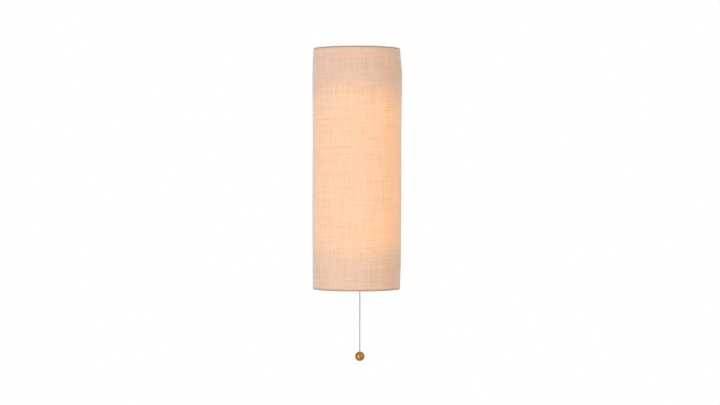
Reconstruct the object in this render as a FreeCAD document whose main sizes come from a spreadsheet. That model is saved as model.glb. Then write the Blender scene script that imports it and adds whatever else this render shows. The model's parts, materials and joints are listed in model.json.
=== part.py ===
"""Wall light with a tall bow-fronted linen shade, two lamps and a pull cord.

Millimetres. X runs to the right seen from the room, Y into the wall and Z up. The origin is on the
wall, behind the middle of the shade, where the slotted strap is screwed on.
"""
import FreeCAD, Part
import math
import os
import re

import Sketcher

Vector = FreeCAD.Vector

SIZES = {
    # shade
    "shade_width": 150,
    "shade_height": 405,
    "shade_depth": 100,
    "shade_wall_gap": 3,
    "linen": 0.8,
    "liner": 0.5,
    "liner_edge_gap": 2.5,
    "hem_radius": 2.5,
    "hem_step": 0.2,
    "frame_wire": 1.3,
    "tuck": 0.02,
    "slit_gap": 0.1,
    # flat bars behind the shade and what holds them
    "upper_bar_height": 150,
    "lower_bar_height": -130,
    "bar_width": 12,
    "bar_sheet": 1.5,
    "bar_bend_start": 62.5,
    "bar_bend_end": 66.5,
    "stud_radius": 2,
    "stud_reach": 8,
    "stud_head": 4,
    "stud_head_length": 1,
    "stud_clearance": 0.05,
    "bar_hole": 2.3,
    "nut_collar": 4.5,
    "nut_head": 7,
    "nut_collar_length": 2.5,
    "nut_head_length": 5,
    "nut_chamfer": 0.6,
    # tray on the wall
    "tray_width": 120,
    "tray_height": 360,
    "tray_depth": 12,
    "tray_sheet": 1.2,
    "tray_corner": 12,
    "tray_edge": 2.5,
    # strap inside the tray
    "strap_height": 30,
    "strap_sheet": 1.6,
    "strap_length": 112,
    "strap_step_inner": 34,
    "strap_step_outer": 38.5,
    "strap_hole": 8,
    "slot_spacing": 88.9,
    "slot_length": 10,
    "slot_radius": 2.5,
    "tray_screw_spread": 28,
    # pan-head screws
    "screw_radius": 2,
    "screw_head": 3.7,
    "screw_head_length": 2.4,
    "screw_crown": 2,
    "screw_hole": 2.05,
    "tray_screw_length": 6,
    "bracket_screw_length": 2.6,
    # terminal block and earth screw in the tray
    "block_place": -60,
    "block_half_height": 7,
    "block_half_width": 14,
    "block_rear": 2.2,
    "pole_spread": 8,
    "pole_bore": 1.3,
    "well_radius": 1.75,
    "well_spread": 3.2,
    "well_depth": 1.6,
    "terminal_screw_head": 1.7,
    "terminal_screw_rear": 2.6,
    "terminal_screw_length": 1.2,
    "earth_right": -34,
    "earth_height": -95,
    "earth_foot": 2.6,
    "earth_foot_length": 2,
    "earth_head_rear": 3.6,
    "earth_head_length": 2,
    # lamp bracket
    "lamp_forward": 50,
    "channel_width": 22,
    "channel_inner": 14,
    "channel_sheet": 1.5,
    "bracket_screw_spread": 9.5,
    "grommet_hole": 4.2,
    "grommet_bore": 3.2,
    "grommet_lip": 5.2,
    "grommet_flange": 1.2,
    "tip_flat": 0.1,
    # threaded tubes and their nuts
    "tube_radius": 5,
    "tube_bore": 3.5,
    "tube_hole": 5.1,
    "tube_fit": 0.02,
    "tube_start": 9,
    "tube_end": 20.5,
    "hex_flats": 14,
    "hex_length": 3.5,
    # lampholder
    "holder_cap_radius": 13,
    "holder_cap_length": 12,
    "holder_cap_chamfer": 2,
    "holder_radius": 13.6,
    "holder_shoulder": 3,
    "holder_waist_step": 1.2,
    "holder_lip_step": 0.8,
    "holder_lip_rise": 2,
    "holder_lip_foot": 7,
    "holder_lip_edge": 1,
    "holder_mouth": 9.2,
    "holder_top": 63.6,
    "holder_wall": 1.8,
    "holder_floor": 3,
    "sleeve_radius": 6.95,
    "sleeve_wall": 0.4,
    "sleeve_start": 42,
    "sleeve_end": 59,
    "contact_half_width": 4.5,
    "contact_length": 4,
    "contact_gap": 0.15,
    # bulb
    "globe_radius": 22.5,
    "globe_height": 95,
    "globe_seat": 76,
    "globe_spigot": 2,
    "globe_rim": 1.6,
    "collar_foot": 64.3,
    "collar_foot_step": 0.3,
    "collar_foot_length": 3,
    "collar_step": 0.9,
    "collar_rim": 1.5,
    "bulb_cap_radius": 6.85,
    "bulb_cap_chamfer": 1,
    "bulb_skirt": 8.4,
    "bulb_skirt_length": 1.5,
    "bulb_cap_start": 44,
    "insulator_length": 2.4,
    "insulator_radius": 2.6,
    "bulb_tip": 39.6,
    "tip_radius": 1.6,
    "tip_rim": 2.4,
    "tip_chamfer": 0.7,
    # pull switch
    "pull_right": 5,
    "switch_arm_height": -180,
    "switch_arm_sheet": 1.5,
    "switch_arm_width": 20,
    "switch_leg_top": -158,
    "case_width": 28,
    "case_depth": 22,
    "case_top": -143,
    "case_wall": 2,
    "case_corner": 3,
    "case_room_corner": 1.2,
    "cover_sheet": 3,
    "cover_lip": 2,
    "cover_lip_gap": 0.1,
    "switch_entry_height": -149,
    "switch_entry_spread": 2,
    "blade_half_width": 1.6,
    "blade_drop": 6,
    "blade_rise": 3,
    "blade_sheet": 0.8,
    "thread_chamfer": 0.6,
    "switch_nut_length": 3,
    "switch_ring_length": 4,
    "bushing_end": -190.5,
    "bushing_bore": 1.6,
    "bushing_flange": 6.5,
    "bushing_flange_top": -176.5,
    "slider_foot": -165,
    "slider_top": -160,
    "slider_radius": 6,
    "slider_flange": 2,
    "slider_boss": 3,
    "slider_taper": 1,
    "spring_inner": 3.2,
    "spring_outer": 4.2,
    "stem_radius": 1.2,
    "stem_in_slider": 2,
    "stem_neck": 0.6,
    "stem_neck_top": -190,
    "stem_taper": 0.6,
    # ball joint, cord and ball
    "stem_ball": 1.6,
    "stem_socket": 1.65,
    "stem_ball_height": -195,
    "knot_radius": 2.2,
    "knot_socket": 2.25,
    "knot_height": -199.6,
    "connector_wall": 0.65,
    "connector_taper": 1,
    "socket_opening": 67,
    "cord_radius": 1,
    "pull_ball": 8,
    "pull_ball_height": -313.2,
    "pull_ball_bore": 1.1,
    "cord_seat": 3,
    # inside wiring
    "lead_radius": 0.9,
    "lead_bend": 6,
    "lead_spread": 1.5,
    "lead_hole_gap": 0.1,
    "lead_in_holder": 8,
    "lead_in_block": 3,
    "lead_to_earth": 0.05,
    "recess_wire_depth": 5,
}

CLOCKWISE, ANTICLOCKWISE = -1, 1

BOW_CENTRE = "-(shade_depth - shade_width / 2)"
HEM_LINE = "shade_width / 2 - hem_radius"
HEM_HEIGHT = "shade_height / 2 - hem_radius"
EDGE_LINE = "-(shade_wall_gap + hem_radius)"
LINEN_OUTER = "shade_width / 2 - hem_step"
LINEN_INNER = f"{LINEN_OUTER} - linen"
SLIT_HALF_DEPTH = "(bar_sheet / 2 + slit_gap)"
SLIT_HALF_HEIGHT = "(bar_width / 2 + slit_gap)"
TRAY_INSIDE = "-(tray_depth - tray_sheet)"
BAR_HEIGHTS = ("upper_bar_height", "lower_bar_height")
POLES = ("-pole_spread", "0", "pole_spread")
SWITCH_SCREW_HEIGHTS = ("switch_leg_top - 6", "switch_leg_top - 16")
LAMP_AXIS = ("0", "-lamp_forward", "0")
SWITCH_AXIS = ("pull_right", "-lamp_forward", "0")

document = FreeCAD.newDocument("fabric_shade_wall_light")
sheet = document.addObject("Spreadsheet::Sheet", "sizes")
for row, (word, number) in enumerate(SIZES.items(), start=1):
    sheet.set(f"A{row}", word)
    sheet.set(f"B{row}", str(number))
    sheet.setAlias(f"B{row}", word)
document.recompute()

subparts = []


# ---------------------------------------------------------------- helpers
def bound(text):
    """Write the sheet's name before each of its aliases in a formula."""
    return re.sub(r"[a-z_]+", lambda word: f"sizes.{word[0]}" if word[0] in SIZES else word[0], str(text))


def size(text):
    """The number that a formula of the sheet's aliases stands for."""
    return float(sheet.evalExpression(bound(text) + " * 1"))


def minus(text):
    """A formula with its sign turned."""
    return f"-({text})"


def pin_point(sketch, geometry, position, x, y):
    """Bind one end of an edge to its place from the sketch's origin."""
    for kind, axis, text in (("DistanceX", -2, x), ("DistanceY", -1, y)):
        if str(text) == "0":
            sketch.addConstraint(Sketcher.Constraint("PointOnObject", geometry, position, axis))
            continue
        index = sketch.addConstraint(
            Sketcher.Constraint(kind, -1, 1, geometry, position, size(text)))
        sketch.setExpression(f"Constraints[{index}]", bound(text))


def new_sketch(body, plane, offset="0"):
    """A sketch on one of the body's own planes, moved along that plane's normal."""
    sketch = body.newObject("Sketcher::SketchObject", "profile")
    origin_plane = next(item for item in body.Origin.OriginFeatures if item.Role == plane)
    sketch.AttachmentSupport = [(origin_plane, "")]
    sketch.MapMode = "FlatFace"
    if str(offset) != "0":
        sketch.setExpression("AttachmentOffset.Base.z", bound(offset))
    return sketch


def draw(sketch, corners, closed=True):
    """Draw an outline. A corner is (x, y), reached by a line, or (x, y, centre_x, centre_y, turn)."""
    ends = [Vector(size(corner[0]), size(corner[1]), 0) for corner in corners]
    count = len(corners) if closed else len(corners) - 1
    first_edge = sketch.GeometryCount
    joints = []
    for number in range(count):
        begin, finish = ends[number], ends[(number + 1) % len(ends)]
        target = corners[(number + 1) % len(corners)]
        if len(target) == 2:
            sketch.addGeometry(Part.LineSegment(begin, finish), False)
            joints.append((1, 2))
            continue
        centre = Vector(size(target[2]), size(target[3]), 0)
        turn = target[4]
        start, stop = (begin, finish) if turn == ANTICLOCKWISE else (finish, begin)
        first = math.atan2(start.y - centre.y, start.x - centre.x)
        last = math.atan2(stop.y - centre.y, stop.x - centre.x)
        if last <= first:
            last += 2 * math.pi
        circle = Part.Circle(centre, Vector(0, 0, 1), (begin - centre).Length)
        sketch.addGeometry(Part.ArcOfCircle(circle, first, last), False)
        joints.append((1, 2) if turn == ANTICLOCKWISE else (2, 1))
    for number in range(count):
        following = (number + 1) % count
        if not closed and following == 0:
            break
        sketch.addConstraint(Sketcher.Constraint(
            "Coincident", first_edge + number, joints[number][1],
            first_edge + following, joints[following][0]))
    for number in range(count):
        corner = corners[number]
        pin_point(sketch, first_edge + number, joints[number][0], corner[0], corner[1])
    if not closed:
        pin_point(sketch, first_edge + count - 1, joints[count - 1][1], corners[-1][0], corners[-1][1])
    for number in range(count):
        target = corners[(number + 1) % len(corners)]
        if len(target) == 2:
            continue
        chord = ends[(number + 1) % len(ends)] - ends[number]
        flat = abs(chord.y) < abs(chord.x)
        kind, text = ("DistanceY", target[3]) if flat else ("DistanceX", target[2])
        if str(text) == "0":
            axis = -1 if flat else -2
            sketch.addConstraint(Sketcher.Constraint("PointOnObject", first_edge + number, 3, axis))
            continue
        index = sketch.addConstraint(
            Sketcher.Constraint(kind, -1, 1, first_edge + number, 3, size(text)))
        sketch.setExpression(f"Constraints[{index}]", bound(text))


def draw_circle(sketch, x, y, radius):
    """Draw a circle bound to its centre and radius."""
    centre = Vector(size(x), size(y), 0)
    edge = sketch.addGeometry(Part.Circle(centre, Vector(0, 0, 1), size(radius)), False)
    pin_point(sketch, edge, 3, x, y)
    index = sketch.addConstraint(Sketcher.Constraint("Radius", edge, size(radius)))
    sketch.setExpression(f"Constraints[{index}]", bound(radius))


def new_body(name, at=("0", "0", "0"), upside_down=False, kept=True):
    """A sub-part in the making, placed by three formulas."""
    body = document.addObject("PartDesign::Body", name)
    body.Label = name
    if upside_down:
        body.Placement = FreeCAD.Placement(Vector(), FreeCAD.Rotation(Vector(1, 0, 0), 180))
    for axis, text in zip("xyz", at):
        body.setExpression(f"Placement.Base.{axis}", bound(text))
    if kept:
        subparts.append(body)
    return body


def add_pad(body, sketch, length):
    """Pad along the sketch's normal."""
    pad = body.newObject("PartDesign::Pad", "pad")
    pad.Profile = sketch
    pad.setExpression("Length", bound(length))
    body.Tip = pad
    document.recompute()
    return pad


def add_cut(body, sketch, length):
    """Pocket against the sketch's normal, which has to take some material away."""
    before = body.Tip.Shape.Volume
    cut = body.newObject("PartDesign::Pocket", "cut")
    cut.Profile = sketch
    cut.setExpression("Length", bound(length))
    body.Tip = cut
    document.recompute()
    if cut.Shape.Volume > before - 1e-6:
        raise RuntimeError(f"{body.Label}: a cut took nothing away")
    return cut


def round_tip(body, base, tip):
    """Round the two upright corners at the free end of a bracket's arm."""
    reach = size(tip)
    corners = [f"Edge{number}" for number, edge in enumerate(base.Shape.Edges, start=1)
               if abs(edge.CenterOfMass.y - reach) < 1e-6
               and abs(edge.tangentAt(edge.FirstParameter).z) > 0.9]
    rounding = body.newObject("PartDesign::Fillet", "tip_rounding")
    rounding.Base = (base, corners)
    rounding.setExpression("Radius", bound(f"{tip} * -1 - lamp_forward - tip_flat"))
    body.Tip = rounding
    document.recompute()


def turned(name, outline, along="z", at=("0", "0", "0"), upside_down=False, kept=True):
    """A piece turned on a lathe: its outline is given as radius and height."""
    body = new_body(name, at, upside_down, kept)
    sketch = new_sketch(body, "XZ_Plane" if along == "z" else "XY_Plane")
    draw(sketch, outline)
    turn = body.newObject("PartDesign::Revolution", "turn")
    turn.Profile = sketch
    turn.ReferenceAxis = (sketch, ["V_Axis"])
    turn.Angle = 360
    body.Tip = turn
    document.recompute()
    return body


def group(name, bodies):
    """Identical fasteners kept together as one sub-part."""
    together = document.addObject("Part::Compound", name)
    together.Label = name
    together.Links = bodies
    document.recompute()
    subparts.append(together)
    return together


def rectangle(half_width, low, high):
    """Corners of a rectangle that is centred across."""
    return [(minus(half_width), low), (half_width, low), (half_width, high), (minus(half_width), high)]


def rounded_rectangle(half_width, half_height, corner):
    """Corners of a centred rectangle with rounded corners, drawn clockwise."""
    left, right = minus(half_width), f"({half_width})"
    low, high = minus(half_height), f"({half_height})"
    return [
        (f"{left} + {corner}", high, f"{left} + {corner}", f"{high} - {corner}", CLOCKWISE),
        (f"{right} - {corner}", high),
        (right, f"{high} - {corner}", f"{right} - {corner}", f"{high} - {corner}", CLOCKWISE),
        (right, f"{low} + {corner}"),
        (f"{right} - {corner}", low, f"{right} - {corner}", f"{low} + {corner}", CLOCKWISE),
        (f"{left} + {corner}", low),
        (left, f"{low} + {corner}", f"{left} + {corner}", f"{low} + {corner}", CLOCKWISE),
        (left, f"{high} - {corner}"),
    ]


def hexagon(flats):
    """Six corners, two of them on the x axis."""
    corner = f"({flats}) / sqrt(3)"
    return [(f"{corner} * cos({60 * step})", f"{corner} * sin({60 * step})") for step in range(6)]


# ---------------------------------------------------------------- shade
def bow_path(radius, back):
    """Along one side, round the front and back along the other side."""
    return [(minus(radius), back), (minus(radius), BOW_CENTRE),
            (radius, BOW_CENTRE, "0", BOW_CENTRE, ANTICLOCKWISE), (radius, back)]


def bow_band(outer, inner, back):
    """Outline of a sheet bent along the bow path."""
    return bow_path(outer, back) + [
        (inner, back), (inner, BOW_CENTRE),
        (minus(inner), BOW_CENTRE, "0", BOW_CENTRE, CLOCKWISE), (minus(inner), back)]


def sweep_along_bow(body, kind, height, radius, back):
    """A round rod, or the hollow for one, along the hem line at one height."""
    path = new_sketch(body, "XY_Plane", height)
    draw(path, bow_path(HEM_LINE, back), closed=False)
    section = new_sketch(body, "XZ_Plane", minus(back))
    draw_circle(section, minus(HEM_LINE), height, radius)
    document.recompute()
    sweep = body.newObject(kind, "sweep")
    sweep.Profile = section
    sweep.Spine = (path, ["Edge1", "Edge2", "Edge3"])
    body.Tip = sweep
    document.recompute()
    return sweep


def make_shade():
    """Linen rolled over a wire frame, with its liner and the two bars that hang it."""
    linen = new_body("shade_fabric")
    sketch = new_sketch(linen, "XY_Plane", minus(HEM_HEIGHT))
    draw(sketch, bow_band(LINEN_OUTER, LINEN_INNER, EDGE_LINE))
    add_pad(linen, sketch, f"2 * ({HEM_HEIGHT})")
    for height in (HEM_HEIGHT, minus(HEM_HEIGHT)):
        sweep_along_bow(linen, "PartDesign::AdditivePipe", height, "hem_radius", "-shade_wall_gap")
    rolls = new_sketch(linen, "XY_Plane", "-shade_height / 2")
    for side in (HEM_LINE, minus(HEM_LINE)):
        draw_circle(rolls, side, EDGE_LINE, "hem_radius")
    add_pad(linen, rolls, "shade_height")
    wire_end = f"{EDGE_LINE} + frame_wire"
    for height in (HEM_HEIGHT, minus(HEM_HEIGHT)):
        sweep_along_bow(linen, "PartDesign::SubtractivePipe", height, "frame_wire + tuck",
                        f"{wire_end} + tuck")
    hollows = new_sketch(linen, "XY_Plane", HEM_HEIGHT)
    for side in (HEM_LINE, minus(HEM_LINE)):
        draw_circle(hollows, side, EDGE_LINE, "frame_wire + tuck")
    add_cut(linen, hollows, f"2 * ({HEM_HEIGHT})")
    slits = new_sketch(linen, "YZ_Plane", f"{HEM_LINE} - frame_wire")
    for height in BAR_HEIGHTS:
        draw(slits, [(f"{EDGE_LINE} - {SLIT_HALF_DEPTH}", f"{height} - {SLIT_HALF_HEIGHT}"),
                     (f"{EDGE_LINE} + {SLIT_HALF_DEPTH}", f"{height} - {SLIT_HALF_HEIGHT}"),
                     (f"{EDGE_LINE} + {SLIT_HALF_DEPTH}", f"{height} + {SLIT_HALF_HEIGHT}"),
                     (f"{EDGE_LINE} - {SLIT_HALF_DEPTH}", f"{height} + {SLIT_HALF_HEIGHT}")])
    add_cut(linen, slits, f"2 * ({HEM_LINE} - frame_wire)")

    liner = new_body("shade_liner")
    half_liner = f"{HEM_HEIGHT} - liner_edge_gap"
    sketch = new_sketch(liner, "XY_Plane", minus(half_liner))
    draw(sketch, bow_band(LINEN_INNER, f"{LINEN_INNER} - liner", f"{EDGE_LINE} - liner_edge_gap"))
    add_pad(liner, sketch, f"2 * ({half_liner})")

    for name, height in (("ring_top", HEM_HEIGHT), ("ring_bottom", minus(HEM_HEIGHT))):
        sweep_along_bow(new_body(name), "PartDesign::AdditivePipe", height, "frame_wire", wire_end)
    for name, side in (("upright_left", minus(HEM_LINE)), ("upright_right", HEM_LINE)):
        upright = new_body(name)
        sketch = new_sketch(upright, "XY_Plane", f"-({HEM_HEIGHT} - frame_wire)")
        draw_circle(sketch, side, EDGE_LINE, "frame_wire")
        add_pad(upright, sketch, f"2 * ({HEM_HEIGHT} - frame_wire)")

    for name, height in zip(("crossbar_upper", "crossbar_lower"), BAR_HEIGHTS):
        make_crossbar(name, height)


def make_crossbar(name, height):
    """A flat bar against the tray, bent back at both ends to the uprights, with a stud hole."""
    bar = new_body(name, ("0", "0", height))
    sketch = new_sketch(bar, "XY_Plane", "-bar_width / 2")
    rear, front = "-tray_depth", "-(tray_depth + bar_sheet)"
    end = f"{HEM_LINE} - frame_wire"
    end_rear, end_front = f"{EDGE_LINE} + bar_sheet / 2", f"{EDGE_LINE} - bar_sheet / 2"
    right = [("bar_bend_start", rear), ("bar_bend_end", end_rear), (end, end_rear),
             (end, end_front), ("bar_bend_end + bar_sheet / 2", end_front),
             ("bar_bend_start + bar_sheet / 2", front)]
    left = [(minus(x), y) for x, y in reversed(right)]
    draw(sketch, right + left)
    add_pad(bar, sketch, "bar_width")
    hole = new_sketch(bar, "XZ_Plane", "tray_depth + bar_sheet")
    draw_circle(hole, "0", "0", "bar_hole")
    add_cut(bar, hole, "bar_sheet")


def make_thumb_nuts():
    """Knurled nuts on the two studs, in front of the bars."""
    rear = "-(tray_depth + bar_sheet)"
    middle = f"{rear} - nut_collar_length"
    front = f"{middle} - nut_head_length"
    bore = "stud_radius + stud_clearance"
    outline = [(bore, rear), ("nut_collar", rear), ("nut_collar", middle),
               ("nut_head - nut_chamfer", middle), ("nut_head", f"{middle} - nut_chamfer"),
               ("nut_head", f"{front} + nut_chamfer"), ("nut_head - nut_chamfer", front), (bore, front)]
    for name, height in zip(("thumb_nut_upper", "thumb_nut_lower"), BAR_HEIGHTS):
        turned(name, outline, "y", ("0", "0", height))


# ---------------------------------------------------------------- tray and wall strap
def pan_head_screw(name, at, face, length, kept=False):
    """A screw along Y whose head stands in front of a face; the shank goes towards the wall."""
    crown = f"{face} - screw_head_length"
    outline = [("0", f"{face} + {length}"), ("screw_radius", f"{face} + {length}"), ("screw_radius", face),
               ("screw_head", face), ("screw_head", f"{face} - screw_head_length / 2"),
               ("screw_crown", crown), ("0", crown)]
    return turned(name, outline, "y", at, kept=kept)


def make_wall_strap():
    """A stepped strap: its ends lie on the wall and its middle holds the tray."""
    strap = new_body("wall_bracket")
    sketch = new_sketch(strap, "XY_Plane", "-strap_height / 2")
    right = [("strap_step_inner", TRAY_INSIDE), ("strap_step_outer", "-strap_sheet"),
             ("strap_length / 2", "-strap_sheet"), ("strap_length / 2", "0"),
             ("strap_step_outer - strap_sheet / 2", "0"),
             ("strap_step_inner - strap_sheet / 2", f"{TRAY_INSIDE} + strap_sheet")]
    left = [(minus(x), y) for x, y in reversed(right)]
    draw(sketch, right + left)
    add_pad(strap, sketch, "strap_height")
    holes = new_sketch(strap, "XZ_Plane", "tray_depth")
    draw_circle(holes, "0", "0", "strap_hole")
    for side in ("tray_screw_spread", "-tray_screw_spread"):
        draw_circle(holes, side, "0", "screw_hole")
    straight = "(slot_length / 2 - slot_radius)"
    for side in ("slot_spacing / 2", "-slot_spacing / 2"):
        left, right = f"{side} - {straight}", f"{side} + {straight}"
        draw(holes, [(left, "-slot_radius", left, "0", ANTICLOCKWISE), (right, "-slot_radius"),
                     (right, "slot_radius", right, "0", ANTICLOCKWISE), (left, "slot_radius")])
    add_cut(strap, holes, "tray_depth")


def make_tray():
    """A pressed tray, open to the wall, pierced for studs, screws and wires."""
    tray = new_body("backplate")
    sketch = new_sketch(tray, "XZ_Plane")
    draw(sketch, rectangle("tray_width / 2", "-tray_height / 2", "tray_height / 2"))
    block = add_pad(tray, sketch, "tray_depth")
    corners = [f"Edge{number}" for number, edge in enumerate(block.Shape.Edges, start=1)
               if abs(edge.tangentAt(edge.FirstParameter).y) > 0.9]
    corner_fillet = tray.newObject("PartDesign::Fillet", "corners")
    corner_fillet.Base = (block, corners)
    corner_fillet.setExpression("Radius", bound("tray_corner"))
    document.recompute()
    front = [f"Face{number}" for number, face in enumerate(corner_fillet.Shape.Faces, start=1)
             if face.normalAt(0, 0).y < -0.9]
    edge_fillet = tray.newObject("PartDesign::Fillet", "front_edge")
    edge_fillet.Base = (corner_fillet, front)
    edge_fillet.setExpression("Radius", bound("tray_edge"))
    document.recompute()
    back = [f"Face{number}" for number, face in enumerate(edge_fillet.Shape.Faces, start=1)
            if abs(face.CenterOfMass.y) < 1e-6]
    shell = tray.newObject("PartDesign::Thickness", "shell")
    shell.Base = (edge_fillet, back)
    shell.setExpression("Value", bound("tray_sheet"))
    shell.Reversed = True
    tray.Tip = shell
    document.recompute()
    holes = new_sketch(tray, "XZ_Plane", "tray_depth")
    for height in BAR_HEIGHTS:
        draw_circle(holes, "0", height, "screw_hole")
    for side in ("tray_screw_spread", "-tray_screw_spread"):
        draw_circle(holes, side, "0", "screw_hole")
    for height in ("bracket_screw_spread", "-bracket_screw_spread"):
        draw_circle(holes, "0", height, "screw_hole")
    for height in SWITCH_SCREW_HEIGHTS:
        draw_circle(holes, "pull_right", height, "screw_hole")
    draw_circle(holes, "0", "0", "grommet_hole")
    draw_circle(holes, "pull_right", "switch_entry_height", "grommet_hole")
    add_cut(tray, holes, "tray_sheet")


def make_tray_fasteners():
    """Studs pressed in from behind, the screws into the strap, and the two grommets."""
    head_rear, tip = f"{TRAY_INSIDE} + stud_head_length", "-(tray_depth + stud_reach)"
    stud = [("0", head_rear), ("stud_head", head_rear), ("stud_head", TRAY_INSIDE),
            ("stud_radius", TRAY_INSIDE), ("stud_radius", tip), ("0", tip)]
    group("shade_studs", [turned("stud", stud, "y", ("0", "0", height), kept=False)
                          for height in BAR_HEIGHTS])
    group("backplate_screws", [
        pan_head_screw("tray_screw", (side, "0", "0"), "-tray_depth", "tray_screw_length")
        for side in ("tray_screw_spread", "-tray_screw_spread")])
    lip_front = "-(tray_depth + channel_sheet)"
    grommet_sets = (("0", "0", lip_front), ("pull_right", "switch_entry_height", "-tray_depth"))
    grommets = []
    for right, height, front in grommet_sets:
        rear_lip, front_lip = f"{TRAY_INSIDE} + grommet_flange", f"{front} - grommet_flange"
        outline = [("grommet_bore", rear_lip), ("grommet_lip", rear_lip), ("grommet_lip", TRAY_INSIDE),
                   ("grommet_hole", TRAY_INSIDE), ("grommet_hole", front), ("grommet_lip", front),
                   ("grommet_lip", front_lip), ("grommet_bore", front_lip)]
        grommets.append(turned("grommet", outline, "y", (right, "0", height), kept=False))
    group("cable_grommets", grommets)


# ---------------------------------------------------------------- terminal block and earth
def make_terminals():
    """A three-pole block on the tray's inner face, its screws, and the earth screw beside it."""
    block = new_body("terminal_block", ("0", "0", "block_place"))
    sketch = new_sketch(block, "XZ_Plane", "block_rear")
    draw(sketch, rectangle("block_half_width", "-block_half_height", "block_half_height"))
    add_pad(block, sketch, "tray_depth - tray_sheet - block_rear")
    ways = new_sketch(block, "XY_Plane", "block_half_height")
    for side in POLES:
        draw_circle(ways, side, "-recess_wire_depth", "pole_bore")
    add_cut(block, ways, "2 * block_half_height")
    wells = new_sketch(block, "XZ_Plane", "block_rear + well_depth")
    for side in POLES:
        for height in ("well_spread", "-well_spread"):
            draw_circle(wells, side, height, "well_radius")
    add_cut(block, wells, "well_depth")
    rear, front = "-terminal_screw_rear", "-(terminal_screw_rear + terminal_screw_length)"
    head = [("0", rear), ("terminal_screw_head", rear), ("terminal_screw_head", front), ("0", front)]
    group("terminal_screws", [
        turned("terminal_screw", head, "y", (side, "0", f"block_place {sign} well_spread"), kept=False)
        for side in POLES for sign in "-+"])
    foot_rear = f"{TRAY_INSIDE} + earth_foot_length"
    head_front = "-(earth_head_rear + earth_head_length)"
    turned("earth_screw", [
        ("0", TRAY_INSIDE), ("earth_foot", TRAY_INSIDE), ("earth_foot", foot_rear),
        ("screw_radius", foot_rear), ("screw_radius", head_front), ("screw_head", head_front),
        ("screw_head", "-earth_head_rear"), ("0", "-earth_head_rear")],
        "y", ("earth_right", "0", "earth_height"))


# ---------------------------------------------------------------- lamps
def make_lamp_bracket():
    """A channel with two ears, each carrying a lampholder on its outer face."""
    bracket = new_body("lamp_bracket")
    half = "channel_width / 2"
    sketch = new_sketch(bracket, "YZ_Plane", minus(half))
    outer, inner = "channel_inner + channel_sheet", "channel_inner"
    rear, web = "-tray_depth", "-(tray_depth + channel_sheet)"
    tip = f"-(lamp_forward + {half})"
    draw(sketch, [(rear, minus(outer)), (tip, minus(outer)), (tip, minus(inner)), (web, minus(inner)),
                  (web, inner), (tip, inner), (tip, outer), (rear, outer)])
    round_tip(bracket, add_pad(bracket, sketch, "channel_width"), tip)
    ears = new_sketch(bracket, "XY_Plane", outer)
    draw_circle(ears, "0", "-lamp_forward", "tube_hole")
    add_cut(bracket, ears, f"2 * ({outer})")
    holes = new_sketch(bracket, "XZ_Plane", minus(web))
    draw_circle(holes, "0", "0", "grommet_hole")
    for height in ("bracket_screw_spread", "-bracket_screw_spread"):
        draw_circle(holes, "0", height, "screw_hole")
    add_cut(bracket, holes, "channel_sheet")
    group("bracket_screws", [
        pan_head_screw("bracket_screw", ("0", "0", height), web, "bracket_screw_length")
        for height in ("bracket_screw_spread", "-bracket_screw_spread")])


def make_threaded_tubes():
    """Short threaded tubes through the ears, each with a hexagon nut inside the channel."""
    tube = [("tube_bore", "tube_start"), ("tube_radius", "tube_start"), ("tube_radius", "tube_end"),
            ("tube_bore", "tube_end")]
    tubes = [turned("tube", tube, at=LAMP_AXIS, upside_down=low, kept=False) for low in (False, True)]
    group("nipples", tubes)
    nuts = []
    for low in (False, True):
        nut = new_body("nut", LAMP_AXIS, upside_down=low, kept=False)
        sketch = new_sketch(nut, "XY_Plane", "channel_inner - hex_length")
        draw(sketch, hexagon("hex_flats"))
        draw_circle(sketch, "0", "0", "tube_radius + tube_fit")
        add_pad(nut, sketch, "hex_length")
        nuts.append(nut)
    group("nipple_nuts", nuts)


def make_lampholder(where, low):
    """Cap, waisted body, screw sleeve and centre contact, all turned about the lamp's axis."""
    foot = "channel_inner + channel_sheet"
    cap_top = f"{foot} + holder_cap_length"
    cap_inside = "holder_cap_radius - holder_wall"
    turned(f"holder_cap_{where}", [
        ("tube_radius + tube_fit", foot), ("holder_cap_radius - holder_cap_chamfer", foot),
        ("holder_cap_radius", f"{foot} + holder_cap_chamfer"), ("holder_cap_radius", cap_top),
        (cap_inside, cap_top), (cap_inside, f"{foot} + holder_wall"),
        ("tube_radius + tube_fit", f"{foot} + holder_wall")], at=LAMP_AXIS, upside_down=low)
    shoulder = f"{cap_top} + holder_shoulder"
    waist, lip = "holder_radius - holder_waist_step", "holder_radius + holder_lip_step"
    floor = "sleeve_start - holder_floor"
    bore = "sleeve_radius + sleeve_wall"
    turned(f"holder_body_{where}", [
        ("0", f"{floor} - holder_floor"), (cap_inside, f"{floor} - holder_floor"), (cap_inside, cap_top),
        ("holder_radius", cap_top), ("holder_radius", shoulder),
        (waist, f"{shoulder} + holder_waist_step"),
        (waist, "holder_top - holder_lip_foot - holder_lip_rise"), (lip, "holder_top - holder_lip_foot"),
        (lip, "holder_top - holder_lip_edge"), (f"{lip} - holder_lip_edge", "holder_top"),
        ("holder_mouth", "holder_top"), ("holder_mouth", "sleeve_end"), (bore, "sleeve_end"),
        (bore, floor), ("0", floor)], at=LAMP_AXIS, upside_down=low)
    turned(f"holder_sleeve_{where}", [
        ("sleeve_radius", "sleeve_start"), (bore, "sleeve_start"), (bore, "sleeve_end"),
        ("sleeve_radius", "sleeve_end")], at=LAMP_AXIS, upside_down=low)
    contact = new_body(f"holder_contact_{where}", LAMP_AXIS, upside_down=low)
    sketch = new_sketch(contact, "XZ_Plane", "-contact_length / 2")
    draw(sketch, rectangle("contact_half_width", floor, "bulb_tip - contact_gap"))
    add_pad(contact, sketch, "contact_length")


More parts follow.
